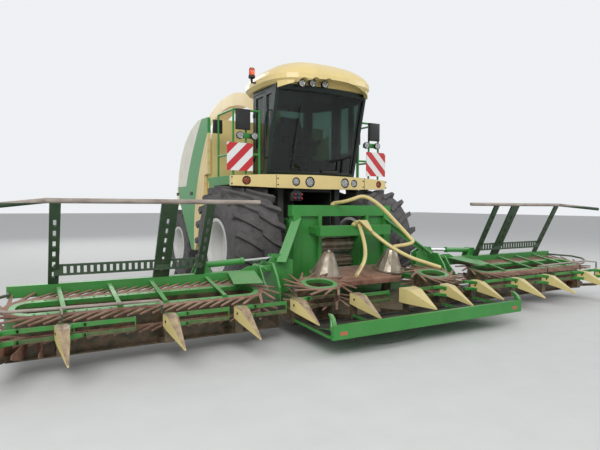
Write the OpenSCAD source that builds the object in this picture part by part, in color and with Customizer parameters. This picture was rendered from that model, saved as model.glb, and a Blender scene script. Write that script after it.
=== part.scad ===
// Self-propelled forage harvester with a folding row-independent maize header.
// Millimetres, +Z up, the machine faces -Y, and its left side is +X.
// Every module is drawn with the front axle at y = 0; place() moves it to the centre of the whole.

/* [Wheels] */
// Distance between the front and the rear axle
wheelbase = 3150; // [3100:10:3300]
// Outer radius of a front tyre over its lugs
front_tyre_r = 943; // [920:1:950]
// Width of a front tyre
front_tyre_w = 790; // [740:5:800]
// Centre of a front tyre from the middle of the machine
front_track = 1255; // [1250:1:1290]
// Outer radius of a rear tyre over its lugs
rear_tyre_r = 740; // [700:1:750]
// Width of a rear tyre
rear_tyre_w = 550; // [500:5:560]
// Centre of a rear tyre from the middle of the machine
rear_track = 1010; // [1000:1:1040]
// Height of the lugs on a front tyre
front_lug_h = 52; // [30:1:60]
// Height of the lugs on a rear tyre
rear_lug_h = 40; // [25:1:45]

/* [Cab] */
// Height of the cab floor above the ground
cab_floor = 2100; // [2090:5:2110]
// Clear height from the cab floor to the ceiling
cab_h = 1290; // [1200:5:1300]
// Half the outer width of the cab
cab_half = 850; // [840:1:870]
// Forward lean of the windscreen, in degrees
cab_lean = 14; // [12:0.5:15]
// Thickness of the cab's walls and doors
cab_wall = 60; // [50:1:70]
// Thickness of the window glass
glass_t = 10; // [6:1:14]

/* [Body] */
// Half the width of the machine over its side panels
body_half = 1450; // [1440:1:1470]
// Thickness of the side panels
panel_t = 55; // [30:1:60]
// Rear end of the engine hood behind the front axle
hood_end = 4300; // [4250:10:4400]
// Radius of the discharge tower
tower_r = 250; // [230:1:270]
// Width of the discharge chute
chute_w = 330; // [280:5:360]
// Depth of the discharge chute
chute_h = 260; // [220:5:280]
// Radius of the chute's long bow
chute_bow_r = 3000; // [2800:50:3400]

/* [Header] */
// Spacing of the crop points
row_pitch = 750; // [740:1:755]
// Forward tilt of the header deck, in degrees
deck_tilt = 11; // [10:0.5:12]
// Half the outer width of the chain loops
wing_end = 4430; // [4400:10:4440]
// Radius of the chain loop at its sprockets
loop_r = 240; // [230:1:242]
// Length of a chain finger
finger_len = 235; // [215:5:240]
// Sweep of the fingers away from the chain, in degrees
finger_sweep = 50; // [48:1:55]
// Spacing of the fingers along the chain
finger_pitch = 118; // [115:1:150]
// Length of a crop point
point_len = 560; // [500:5:580]
// Half the length of the transport guard beam
guard_half = 1500; // [1450:10:1520]

/* [Hidden] */
$fn = 40;
seat = 0.3;        // gap where one piece is seated on another
gap = 10;          // gap round a door, a flap or a hatch
far = 9000;        // longer than anything that it cuts

frame_grey = [0.17, 0.18, 0.18];
cream = [0.86, 0.76, 0.48];
green = [0.13, 0.42, 0.17];
dark_green = [0.08, 0.22, 0.13];
rust = [0.42, 0.25, 0.16];
steel = [0.62, 0.62, 0.60];
black = [0.06, 0.06, 0.06];
rubber = [0.12, 0.12, 0.12];
glass = [0.45, 0.62, 0.60, 0.4];

// Heights and lengths shared by the pieces of the chassis
axle_z = front_tyre_r;
rear_axle_z = rear_tyre_r;
rail_z = 1160;
rail_h = 220;
rail_x = 500;
rail_w = 100;
rear_rail_x = 200;
rear_rail_w = 100;
rail_step = 1400;   // where the wide front rails meet the narrow rear ones
frame_end = hood_end + 20;
deck_t = 50;
deck_z = cab_floor - 60 - deck_t;
cab_base = cab_floor - 60;
cab_top = cab_floor + cab_h + 40;
screen_y = -200;    // foot of the windscreen's corners
screen_sag = 110;
screen_r = (pow(cab_half, 2) + pow(screen_sag, 2)) / (2 * screen_sag);
kingpin_x = rear_track - 210;
lift_pivot = [0, 1300];      // y and z
tower_y = 1350;
tower_top = 3080;
elbow_r = 330;
elbow_z = tower_top + 70;
bow_crest_y = 3050;          // where the chute is at its highest
bow_lean = asin((bow_crest_y - tower_y - elbow_r) / (chute_bow_r - elbow_r));
bow_centre = [bow_crest_y, elbow_z - (chute_bow_r - elbow_r) * cos(bow_lean)];
bow_top = chute_bow_r + chute_h / 2 + 20;
chute_pin = bow_centre + bow_top * [-sin(bow_lean), cos(bow_lean)];
bow_end = 34;                // where the chute's bow ends, in degrees behind its crest
flap_pin = bow_centre + (bow_top + 4) * [sin(bow_end), cos(bow_end)];
flap_len = 420;
header_y = -1000;            // back of the header where the feeder meets it
hinge_x = 1560;
hinge_z = 780;
front_reach = 3075;          // from the front axle to the foremost point of the header
rear_reach = flap_pin[0] + flap_len * cos(bow_end + 6) + 24 * sin(bow_end + 6);
origin_y = (front_reach - rear_reach) / 2;

// Moves the machine so that its origin is under the middle of its length
module place() translate([0, origin_y, 0]) children();

// Draws a piece on the left side and its mirror image on the right
module both() {
    children();
    mirror([1, 0, 0]) children();
}

// Draws a piece on one side: 1 is left, -1 is right
module on_side(s) mirror([s < 0 ? 1 : 0, 0, 0]) children();

// A round bar from a to b
module rod(a, b, r) {
    v = b - a;
    translate(a) rotate([0, acos(v[2] / norm(v)), atan2(v[1], v[0])]) cylinder(h = norm(v), r = r);
}

// A bent tube through a list of points
module tube(points, r) {
    for (i = [1 : len(points) - 1]) rod(points[i - 1], points[i], r);
    for (i = [1 : 1 : len(points) - 2]) translate(points[i]) sphere(r = r * 1.06);
}

// A flat or square bar from a to b, w across and h upright
module bar(a, b, w, h) {
    v = b - a;
    translate(a) rotate([0, -asin(v[2] / norm(v)), atan2(v[1], v[0])])
        translate([0, -w / 2, -h / 2]) cube([norm(v), w, h]);
}

// A plate with its outline given in y and z, from x0 to x1
module side_plate(x0, x1, outline) {
    translate([x0, 0, 0]) rotate([90, 0, 90]) linear_extrude(x1 - x0) polygon(outline);
}

// A plate with its outline given in x and z, from y0 to y1
module front_plate(y0, y1, outline) {
    translate([0, y1, 0]) rotate([90, 0, 0]) linear_extrude(y1 - y0) polygon(outline);
}

// A round disc or pin across the machine, from x0 to x1 at [y, z]
module cross_pin(x0, x1, at, r) translate([x0, at[0], at[1]]) rotate([0, 90, 0]) cylinder(h = x1 - x0, r = r);

// A round pin along the machine, from y0 to y1 at [x, z]
module long_pin(y0, y1, at, r) translate([at[0], y1, at[1]]) rotate([90, 0, 0]) cylinder(h = y1 - y0, r = r);

// Chassis

module main_frame() place() color(frame_grey) {
    leg_y = [-120, 740];
    both() {
        translate([rail_x, -150, rail_z]) cube([rail_w, rail_step + 300, rail_h]);
        translate([rear_rail_x, rail_step, rail_z]) cube([rear_rail_w, frame_end - rail_step, rail_h]);
        for (y = leg_y)
            translate([rail_x, y, rail_z + rail_h]) cube([rail_w, 120, deck_z - rail_z - rail_h]);
        // Outriggers that carry the side panels
        for (y = [rail_step + 100, rail_step + 700])
            translate([rear_rail_x, y, rail_z + 40]) cube([body_half - panel_t - rear_rail_x, 90, 120]);
    }
    translate([-rail_x - rail_w, rail_step, rail_z]) cube([2 * (rail_x + rail_w), 150, rail_h]);
    tow_jaw();
}

// Rear cross-member with the tow jaw's bolted plate, its two ears and the drawbar pin's bore
tow_plate = [420, 40, 720];       // width, thickness and height
tow_z = 760;
tow_hole_r = 16;
tow_bolts = [300, 90, 11];        // spacing across, spacing up and hole radius
module tow_jaw() {
    plate_y = frame_end;
    difference() {
        union() {
            translate([-rear_rail_x - rear_rail_w, plate_y, rail_z + rail_h - tow_plate[2]])
                cube([2 * (rear_rail_x + rear_rail_w), tow_plate[1], tow_plate[2]]);
            for (z = [tow_z + 40, tow_z - 40 - 30])
                translate([-70, plate_y + tow_plate[1], z]) cube([140, 120, 30]);
        }
        translate([0, plate_y + tow_plate[1] + 70, tow_z - 100]) cylinder(h = 200, r = tow_hole_r);
        for (x = [-1, 1], z = [-1, 1])
            translate([x * tow_bolts[0] / 2, plate_y - 1, 1000 + z * tow_bolts[1] / 2])
                rotate([-90, 0, 0]) cylinder(h = tow_plate[1] + 2, r = tow_bolts[2]);
    }
}

front_hub_x = front_track + 70;   // where the drive hub meets the wheel disc
module front_axle() place() color(frame_grey) {
    cross_pin(-640, 640, [0, axle_z], 115);
    both() {
        cross_pin(625, 1000, [0, axle_z], 290);
        cross_pin(1000, front_hub_x - seat, [0, axle_z], 200);
        translate([rail_x, -120, axle_z]) cube([rail_w, 240, rail_z - axle_z]);
        lift_ears();
    }
}

// Ears under the axle that hold the lift cylinders, with their pin
lift_x = 525;
lift_foot = [50, 620];            // y and z of the barrel's pin
lift_eye = [-930, 533];           // y and z of the rod's pin
lift_pin_r = 20;
module lift_ears() {
    for (x = [lift_x - 61, lift_x + 45])
        side_plate(x, x + 16, [[-60, axle_z], [110, axle_z], [110, 560], [-10, 560]]);
    cross_pin(lift_x - 61, lift_x + 61, lift_foot, lift_pin_r);
}

module rear_axle() place() color(frame_grey) {
    axle_h = 80;
    translate([-kingpin_x, wheelbase - axle_h, rear_axle_z - axle_h])
        cube([2 * kingpin_x, 2 * axle_h, 2 * axle_h]);
    both() translate([kingpin_x, wheelbase, rear_axle_z - 100]) cylinder(h = 200, r = axle_h + 4);
    translate([-rear_rail_x - rear_rail_w, wheelbase - 110, rear_axle_z + axle_h])
        cube([2 * (rear_rail_x + rear_rail_w), 220, rail_z - rear_axle_z - axle_h]);
}

module engine_block() place() color([0.25, 0.26, 0.27]) {
    engine = [1100, 1700, 900];
    engine_y = 2250;
    foot_h = 90;
    translate([-engine[0] / 2, engine_y, rail_z + rail_h + foot_h]) cube(engine);
    both() for (y = [engine_y + 100, engine_y + engine[1] - 220])
        translate([rear_rail_x, y, rail_z + rail_h]) cube([rear_rail_w, 120, foot_h]);
}

// Chopper housing with its open mouth, and the tower that lifts the crop to the chute
module crop_tunnel() place() color(green) {
    wall = 20;
    half = feeder_half;
    outline = [[-195, 1120], [700, 1120], [1080, 1400], [1080, 1950], [300, deck_z], [-195, deck_z]];
    inner = [[-300, 1140], [690, 1140], [1060, 1410], [1060, 1930], [300, deck_z - 20], [-300, deck_z - 220]];
    difference() {
        side_plate(-half, half, outline);
        side_plate(-half + wall, half - wall, inner);
        translate([-tower_r, 900, 1500]) cube([2 * tower_r, far, 350]);
    }
    // Stubs on which the feeder swings
    both() cross_pin(half - 1, ear_x + 16, lift_pivot, 40);
    // Rear duct and round tower
    difference() {
        union() {
            translate([-tower_r - wall, 1080, 1480]) cube([2 * (tower_r + wall), tower_y - 1080, 420]);
            translate([0, tower_y, 1480]) cylinder(h = tower_top - 1480, r = tower_r + wall);
        }
        translate([-tower_r, 1000, 1500]) cube([2 * tower_r, tower_y - 1000, 350]);
        translate([0, tower_y, 1500]) cylinder(h = far, r = tower_r);
    }
    translate([0, tower_y, tower_top - 40]) difference() {
        cylinder(h = 40, r = tower_r + 70);
        translate([0, 0, -1]) cylinder(h = 50, r = tower_r + wall / 2);
    }
}

// Wheels, drawn on the left with the axle at the origin and the outer side towards +X

// Columns: share of the tyre's width, share of its wall height
tyre_profile = [[-0.40, 0], [-0.48, 0.2], [-0.5, 0.48], [-0.48, 0.78], [-0.42, 0.96], [-0.2, 1],
    [0.2, 1], [0.42, 0.96], [0.48, 0.78], [0.5, 0.48], [0.48, 0.2], [0.40, 0]];
module tyre(r, w, bead_r, lug_h, lugs, lug_t) {
    half_pitch = 180 / lugs;
    sweep = PI * r / lugs * 1.0;
    skin = r - lug_h;
    top = sqrt(pow(r, 2) - pow(sweep, 2));
    phase = asin(sweep / r);
    wall_h = skin - bead_r;
    rotate([0, 90, 0]) rotate_extrude()
        polygon([for (p = tyre_profile) [bead_r + p[1] * wall_h, p[0] * w]]);
    for (s = [-1, 1], i = [0 : lugs - 1])
        rotate([i * 2 * half_pitch + s * phase, 0, 0]) translate([0, 0, -top])
            linear_extrude(top - skin + 0.13 * wall_h)
                polygon([[s * 0.015 * w, s * (sweep - lug_t)], [s * 0.015 * w, s * sweep],
                    [s * 0.26 * w, s * (lug_t * 0.3)], [s * 0.49 * w, s * (lug_t - sweep)],
                    [s * 0.49 * w, -s * sweep], [s * 0.22 * w, -s * (lug_t * 0.7)]]);
}

// Columns: radius, distance towards the outside
module rim(bead_r, half_w, hub_r, disc_x) {
    lip = 30;
    t = 16;
    rotate([0, 90, 0]) rotate_extrude() polygon([
        [bead_r - seat, -half_w + t], [bead_r + lip, -half_w + t], [bead_r + lip, -half_w],
            [bead_r - t, -half_w],
        [bead_r - 2 * t, -half_w + 60], [bead_r - 2 * t, disc_x - t - 20], [hub_r + 60, disc_x - t],
        [60, disc_x - t], [60, disc_x], [hub_r + 60, disc_x], [bead_r - 2 * t, disc_x + 24],
        [bead_r - 2 * t, half_w - 60], [bead_r - t, half_w], [bead_r + lip, half_w],
            [bead_r + lip, half_w - t],
        [bead_r - seat, half_w - t], [bead_r - seat, half_w - 70], [bead_r - 1.2 * t, half_w - 90],
        [bead_r - 1.2 * t, -half_w + 90], [bead_r - seat, -half_w + 70]]);
    // Hub cap over the axle's end
    translate([disc_x, 0, 0]) rotate([0, 90, 0]) cylinder(h = 60, r = hub_r * 0.72);
}

front_bead_r = 408;
rear_bead_r = 350;
module at_front_wheel(s) on_side(s) translate([front_track, 0, axle_z]) children();
module at_rear_wheel(s) on_side(s) translate([rear_track, wheelbase, rear_axle_z]) children();
module front_tyre(s) place() color(rubber) at_front_wheel(s)
    tyre(front_tyre_r, front_tyre_w, front_bead_r, front_lug_h, 20, 75);
module front_rim(s) place() color(steel) at_front_wheel(s)
    rim(front_bead_r, front_tyre_w * 0.4 + 40, 200, front_hub_x - front_track + 16);
module rear_tyre(s) place() color(rubber) at_rear_wheel(s)
    tyre(rear_tyre_r, rear_tyre_w, rear_bead_r, rear_lug_h, 18, 60);
module rear_rim(s) place() color(steel) at_rear_wheel(s)
    rim(rear_bead_r, rear_tyre_w * 0.4 + 40, 120, 76);

module front_tyre_left() front_tyre(1);
module front_tyre_right() front_tyre(-1);
module front_rim_left() front_rim(1);
module front_rim_right() front_rim(-1);
module rear_tyre_left() rear_tyre(1);
module rear_tyre_right() rear_tyre(-1);
module rear_rim_left() rear_rim(1);
module rear_rim_right() rear_rim(-1);

// Forked steering knuckle with the hub that carries a rear wheel
module knuckle(s) place() color(frame_grey) on_side(s) translate([kingpin_x, wheelbase, rear_axle_z]) {
    hub_end = rear_track + 60 - kingpin_x - seat;
    for (z = [100 + seat, -100 - seat - 34]) {
        translate([0, 0, z]) cylinder(h = 34, r = 88);
        translate([0, -88, z]) cube([125, 176, 34]);
    }
    translate([95, -88, -134]) cube([30, 176, 268]);
    translate([95, 0, 0]) rotate([0, 90, 0]) cylinder(h = hub_end - 95, r = 110);
}
module knuckle_left() knuckle(1);
module knuckle_right() knuckle(-1);

// Cab

// The space behind a windscreen of this radius, leaning forward
module behind_screen(r, $fn = 160) {
    translate([0, screen_y, cab_floor]) rotate([cab_lean, 0, 0]) translate([0, screen_r - screen_sag, -600])
        cylinder(h = 3000, r = r);
}
// The cab's plan: straight sides, and rear corners cut off
module cab_plan(inset) {
    corner_y = 300;
    rear_y = 850;
    rear_half = 550;
    side = cab_half - inset;
    cut = inset * 0.6;
    polygon([[-side, -900], [side, -900], [side, corner_y - cut], [rear_half - cut, rear_y - inset],
        [-rear_half + cut, rear_y - inset], [-side, corner_y - cut]]);
}
function screen_at(z) = screen_y - (z - cab_floor) * tan(cab_lean);
door_low = cab_floor + 20;
door_high = cab_floor + cab_h - 20;
door_rear = 255;
pillar_w = 120;
door_front = -150;  // the door's upright front edge, which swings clear of the railing
door_knee = cab_floor + (screen_y + pillar_w - door_front) / tan(cab_lean);
function door_outline(inset) = [[screen_at(door_low) + pillar_w + inset, door_low + inset],
    [door_rear - inset, door_low + inset], [door_rear - inset, door_high - inset],
    [door_front + inset, door_high - inset], [door_front + inset, door_knee]];
// Fixed three-cornered window between the door and the front pillar
quarter_y = door_front - 40;
function quarter_window(inset) = [[quarter_y - inset, 2560 + 8 * inset],
    [quarter_y - inset, door_high - 60 - inset],
    [screen_at(door_high - 60) + pillar_w + 6 + 2 * inset, door_high - 60 - inset]];
screen_half = cab_half - 50;
// Window openings: the windscreen, the rear window and the two rear corner windows
module cab_windows(inset) {
    translate([inset - screen_half, -900, cab_floor + 15 + inset])
        cube([2 * (screen_half - inset), 900 + screen_y + 60, cab_h - 55 - 2 * inset]);
    translate([-430 + inset, 700, cab_floor + 520 + inset])
        cube([860 - 2 * inset, 200, cab_h - 600 - 2 * inset]);
    both() {
        translate([700, 575, cab_floor + 320 + inset]) rotate([0, 0, 118.6])
            translate([-210 + inset, -150, 0]) cube([420 - 2 * inset, 300, cab_h - 400 - 2 * inset]);
        side_plate(cab_half - cab_wall - 20, cab_half + 20, quarter_window(inset));
    }
}
hinge_at = [cab_half + 10, door_rear + 4];
// A hinge knuckle from z up, with a flange to y = flange_y and a pad between pad_y that lies on its own leaf
module hinge_knuckle(z, h, flange_y, pad_y) {
    flange = [min(flange_y, hinge_at[1]), max(flange_y, hinge_at[1])];
    translate([hinge_at[0], hinge_at[1], z]) cylinder(h = h, r = 9);
    translate([cab_half + seat, flange[0], z]) cube([10 - seat, flange[1] - flange[0], h]);
    translate([cab_half - 1, pad_y[0], z]) cube([2, pad_y[1] - pad_y[0], h]);
}
door_hinge_z = [cab_floor + 260, cab_floor + 980];
module cab_shell() place() color(dark_green) {
    difference() {
        intersection() {
            translate([0, 0, cab_base]) linear_extrude(cab_top - cab_base) cab_plan(0);
            behind_screen(screen_r);
        }
        intersection() {
            translate([0, 0, cab_floor]) linear_extrude(cab_h) cab_plan(cab_wall);
            behind_screen(screen_r - cab_wall);
        }
        cab_windows(0);
        both() side_plate(cab_half - cab_wall - 20, cab_half + 20, door_outline(0));
    }
    both() for (z = door_hinge_z) hinge_knuckle(z - 60 - seat, 60, door_rear + 44,
        [door_rear + 10, door_rear + 44]);
}

module cab_glass() place() color(glass) intersection() {
    cab_windows(seat);
    union() {
        difference() {
            behind_screen(screen_r - 25);
            behind_screen(screen_r - 25 - glass_t);
            translate([-far / 2, 0, 0]) cube(far);
        }
        both() side_plate(cab_half - 20 - glass_t, cab_half - 20, quarter_window(seat));
        translate([0, 0, cab_base]) difference() {
            linear_extrude(cab_top - cab_base) cab_plan(25);
            translate([0, 0, -1]) linear_extrude(far) cab_plan(25 + glass_t);
            translate([-far / 2, -far, -1]) cube([far, far + 320, far]);
        }
    }
}

// Door with its window opening, hinged at its rear edge
module door(s) place() color(dark_green) on_side(s) {
    difference() {
        side_plate(cab_half - cab_wall + 2, cab_half, door_outline(gap));
        side_plate(cab_half - cab_wall - 10, cab_half + 10, door_window(0));
    }
    for (z = door_hinge_z) hinge_knuckle(z, 60, door_rear - 56, [door_rear - 56, door_rear - gap - 2]);
    // Handle
    translate([cab_half, door_front + 40, cab_floor + 330]) cube([24, 120, 30]);
}
function door_window(inset) = [[door_front + 60 + inset, cab_floor + 400 + inset],
    [door_rear - 60 - inset, cab_floor + 400 + inset], [door_rear - 60 - inset, door_high - 60 - inset],
    [door_front + 60 + inset, door_high - 60 - inset]];
module door_glass(s) place() color(glass) on_side(s)
    side_plate(cab_half - 20 - glass_t, cab_half - 20, door_window(seat));
module door_left() door(1);
module door_right() door(-1);
module door_left_glass() door_glass(1);
module door_right_glass() door_glass(-1);

// Crowned roof cap with an arched visor over the windscreen
// Columns: height over the walls, half width, front end and rear end in y
roof_layers = [[0, 900, -835, 840], [55, 950, -868, 870], [130, 950, -860, 860], [200, 905, -820, 790],
    [270, 820, -750, 690], [335, 700, -650, 560], [390, 540, -520, 400], [430, 360, -390, 220],
    [452, 200, -290, 90], [460, 90, -220, -20]];
roof_round = 0.62;           // below 1 makes the roof's plan squarer
function rounded(t) = sign(t) * pow(abs(t), roof_round);
function roof_plan(l, inset = 0) = [for (t = [0 : 7.5 : 352.5])
    [(l[1] - inset) * rounded(cos(t)),
        (l[2] + l[3]) / 2 + ((l[3] - l[2]) / 2 - inset) * rounded(sin(t))]];
function visor_arch(x) = cab_top + 75 - 155 * pow(x / 870, 2);
visor_line = [for (x = [-930 : 60 : 930]) [x, visor_arch(x)]];
module cab_roof() place() color(cream) {
    difference() {
        hull() for (l = roof_layers)
            translate([0, 0, cab_top + l[0]]) linear_extrude(1) polygon(roof_plan(l));
        // Arched recess under the visor that holds the work lamps
        front_plate(-900, -660, concat([for (x = [-640 : 80 : 640]) [x, visor_arch(x)]],
            [[640, cab_top - 10], [-640, cab_top - 10]]));
        for (l = work_lamps) translate([l[0], -900, l[1]]) rotate([-90, 0, 0]) cylinder(h = 240, r = 68);
    }
    // The visor's drooping corners
    intersection() {
        translate([0, 0, cab_top - 100]) linear_extrude(150) difference() {
            polygon(roof_plan([0, 925, -850, 850]));
            polygon(roof_plan([0, 925, -850, 850], 55));
        }
        difference() {
            front_plate(-900, -552, concat(visor_line, [[930, cab_top + 50], [-930, cab_top + 50]]));
            translate([-660, -far / 2, 0]) cube([1320, far, far]);
        }
    }
}

module driver_seat() place() color(black) {
    seat_y = 240;
    translate([-90, seat_y - 60, cab_floor]) cube([180, 180, 330]);
    translate([-250, seat_y - 230, cab_floor + 330]) cube([500, 520, 130]);
    translate([-240, seat_y + 200, cab_floor + 460]) rotate([-10, 0, 0]) cube([480, 120, 620]);
    both() translate([260, seat_y - 200, cab_floor + 560]) cube([70, 380, 60]);
    both() translate([250, seat_y + 60, cab_floor + 400]) cube([30, 60, 220]);
}

module control_console() place() color(black) {
    // Steering column with its wheel
    column = [[0, -150, cab_floor], [0, -60, cab_floor + 560]];
    rod(column[0] + [0, 0, 40], column[1], 45);
    translate([-120, -235, cab_floor]) cube([240, 150, 90]);
    translate(column[1]) rotate([13, 0, 0]) {
        rotate_extrude() translate([190, 0]) circle(r = 16);
        for (a = [90, 210, 330]) rotate([0, 0, a]) translate([0, -16, -8]) cube([190, 32, 16]);
    }
    // Side console with its screen
    translate([-560, -50, cab_floor]) cube([180, 620, 560]);
    translate([-600, -150, cab_floor + 600]) cube([200, 30, 200]);
    translate([-520, -130, cab_floor + 500]) cube([40, 120, 130]);
}

// Body

bumper_low = 1870;
bumper_h = 169;
bumper_r = 12000;
bumper_half = body_half + 20;
bumper_y = -400;
bumper_t = 110;
bumper_mid = 1961;           // height of the lamps' centres
// Outline of the front. Columns: distance from the middle, lower edge, upper edge
bumper_edge = [[1520, 1880, 2028], [960, 1864, 2060], [760, 1858, 2066], [0, 1850, 2076]];
function bumper_back(x) = bumper_y + bumper_r - sqrt(pow(bumper_r - bumper_t, 2) - pow(x, 2));
module front_bumper() place() color(cream) {
    difference() {
        intersection() {
            translate([0, 0, bumper_low - 50]) linear_extrude(bumper_h + 100) intersection() {
                translate([-bumper_half, bumper_y - 100]) square([2 * bumper_half, 300 + bumper_t]);
                difference() {
                    translate([0, bumper_y + bumper_r]) circle(r = bumper_r, $fn = 720);
                    translate([0, bumper_y + bumper_r]) circle(r = bumper_r - bumper_t, $fn = 720);
                }
            }
            front_plate(-far, 0, concat([for (e = bumper_edge) [e[0], e[1]]],
                [for (i = [2 : -1 : 0]) [-bumper_edge[i][0], bumper_edge[i][1]]],
                [for (i = [0 : 3]) [-bumper_edge[i][0], bumper_edge[i][2]]],
                [for (i = [2 : -1 : 0]) [bumper_edge[i][0], bumper_edge[i][2]]]));
        }
        // Its upper lip is thinner in front of the cab
        translate([-870, bumper_y + 70, cab_base - 4]) cube([1740, far, far]);
        for (p = bumper_lamps)
            translate([p[0], bumper_y - 50, bumper_mid]) rotate([-90, 0, 0])
                cylinder(h = 100 + pow(p[0], 2) / 2 / bumper_r, r = p[1]);
    }
}

deck_front = -200;
deck_back = 1450;
hood_front = 880;
deck_half = body_half - 10;
rail_top = 1000;   // height of the hand rails over the deck
module platforms() place() color(green) {
    translate([-deck_half, deck_front, deck_z]) cube([2 * deck_half, hood_front - seat - deck_front, deck_t]);
    // Left walkway to the ladder
    translate([900 + seat, hood_front - seat - 1, deck_z])
        cube([deck_half - 900 - seat, deck_back - hood_front + 1, deck_t]);
    // Skirt over the front wheels and the brackets that hold the bumper
    both() {
        side_plate(deck_half - 30, deck_half, [[deck_front, deck_z + 1], [deck_front, 1900], [450, 1900],
            [620, 1813], [780, 1813], [780, deck_z + 1]]);
        for (x = [rail_x + 20, deck_half - 260]) translate([x, bumper_back(x + 60) + seat, bumper_low + 40])
            cube([60, -120 - bumper_back(x + 60) - 2 * seat, deck_z + deck_t - bumper_low - 40]);
        front_rail();
    }
    ladder();
}
// Tubular frame in front of the walkway, and its side rail
module front_rail() {
    x0 = deck_half - 480;
    x1 = deck_half - 40;
    y0 = -170;
    z0 = deck_z + deck_t;
    r = 17;
    top = z0 + rail_top;
    tube([[x0, y0, z0], [x0, y0, top], [x1, y0, top], [x1, y0, z0]], r, $fn = 16);
    rod([x0, y0, z0 + 330], [x1, y0, z0 + 330], r, $fn = 16);
    tube([[x1, y0, top], [x1, y0 + 620, top], [x1, y0 + 620, z0]], r, $fn = 16);
    rod([x1, y0, z0 + 330], [x1, y0 + 620, z0 + 330], r, $fn = 16);
    rod([x0 + 230, y0, z0], [x0 + 230, y0, top], r, $fn = 16);
}
module ladder() {
    y0 = 1010;
    y1 = 1400;
    for (y = [y0, y1 - 40]) translate([deck_half - 110, y, 700]) cube([60, 40, deck_z - 700]);
    for (i = [0 : 3]) translate([deck_half - 240, y0 + 40, 740 + i * 330]) cube([190, y1 - y0 - 80, 30]);
    for (i = [0 : 3], y = [y0, y1 - 40])
        translate([deck_half - 240, y, 740 + i * 330]) cube([131, 40, 30]);
}

// Ridged side panels; the left one makes room for the ladder
panel_back = [[1300, 3080], [1750, 2950], [2100, 2730], [2330, 2480], [2480, 2200], [2550, 1930],
    [2400, 1600],
    [1700, 760]];
panel_front_right = [[1500, 760], [1150, 1250], [1010, 1700], [1000, 1960], [1000, 2100], [830, 2110],
    [830, 3060]];
panel_front_left = [[1600, 760], [1480, 1000], [1480, 3028]];
module side_panels() place() color(cream) {
    side_plate(-body_half, -body_half + panel_t, concat(panel_back, panel_front_right));
    side_plate(body_half - panel_t, body_half, concat([for (i = [1 : 7]) panel_back[i]], panel_front_left));
    // Frames inside the panels that bolt to the outriggers
    both() for (y = [rail_step + 100, rail_step + 700])
        translate([body_half - panel_t - 40, y, rail_z + 160]) cube([41, 90, hood_low - rail_z - 160]);
}

// Hood over the engine: crowned sections that narrow towards the back
// Columns: y, shares of the hood's half width low down, at mid height and at the top, height at the top
hood_half = body_half - panel_t - seat;
hood_shares = [[hood_front + 1, 1, 1, 0.925, 3050], [2500, 0.961, 0.86, 0.617, 3020],
    [3450, 0.832, 0.746, 0.459, 2880], [4300, 0.681, 0.574, 0.344, 2650]];
hood_sections = [for (h = hood_shares) [h[0], h[1] * hood_half, h[2] * hood_half, h[3] * hood_half, h[4]]];
hood_low = 1560;
hood_mid = 2550;
module hood_section(s, inset) {
    low = hood_low - (inset > 0 ? 50 : 0);
    translate([0, s[0] - 1, 0]) front_plate(0, 2, [[-s[1] + inset, low], [s[1] - inset, low],
        [s[1] - inset, 1950], [s[2] - inset, hood_mid - inset], [s[3] - inset, s[4] - inset],
        [-s[3] + inset, s[4] - inset], [-s[2] + inset, hood_mid - inset], [-s[1] + inset, 1950]]);
}
module hood_body(inset) {
    last = len(hood_sections) - 1;
    moved = [for (i = [0 : last]) hood_sections[i] + [i == 0 ? inset : i == last ?
        hood_end - hood_sections[last][0] - inset : 0, 0, 0, 0, 0]];
    for (i = [1 : last]) hull() {
        hood_section(moved[i - 1], inset);
        hood_section(moved[i], inset);
    }
}
grille_size = [1240, 820];
grille_z = 1700;
module rear_hood() place() color(cream) {
    wall = 40;
    difference() {
        hood_body(0);
        hood_body(wall);
        translate([-grille_size[0] / 2, hood_end - 100, grille_z])
            cube([grille_size[0], 200, grille_size[1]]);
        // Hole for the tower, and the front wall's cut over the chopper housing
        translate([0, tower_y, 2400]) cylinder(h = far, r = tower_r + 80);
        translate([-feeder_half - 10, 800, hood_low - 10])
            cube([2 * feeder_half + 20, 200, deck_z - hood_low + 200]);
        // Recess for the ladder and its walkway
        translate([900, 800, 0]) cube([far, deck_back - 800, far]);
    }
    translate([860, 880, hood_low + 1]) cube([40, deck_back - 860, 3000 - hood_low]);
    translate([860, deck_back, hood_low + 1]) cube([hood_half - 860, 40, 2950 - hood_low]);
    // Brackets down to the frame
    // Columns: y, share of the hood's half width
    both() for (b = [[2130, 0.955], [4080, 0.704]]) {
        translate([rear_rail_x, b[0], hood_low]) cube([b[1] * hood_half - rear_rail_x, 60, 40]);
        translate([rear_rail_x, b[0], rail_z + rail_h]) cube([rear_rail_w, 60, 220]);
    }
}

module radiator_grille() place() color(black) {
    t = 30;
    slats = 16;
    step = grille_size[1] / slats;
    translate([0, hood_end - 40, 0]) {
        for (i = [0 : slats - 1]) translate([-grille_size[0] / 2 + seat, 0, grille_z + (i + 0.3) * step])
            cube([grille_size[0] - 2 * seat, t, step * 0.45]);
        for (x = [-grille_size[0] / 2 + seat, -20, grille_size[0] / 2 - 40 - seat])
            translate([x, 5, grille_z + seat]) cube([40, t - 10, grille_size[1] - 2 * seat]);
    }
}

// Columns: distance from the middle, radius
bumper_lamps = [[-1248, 68], [-417, 70], [-164, 88], [528, 84], [725, 66], [1294, 60]];
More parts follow.
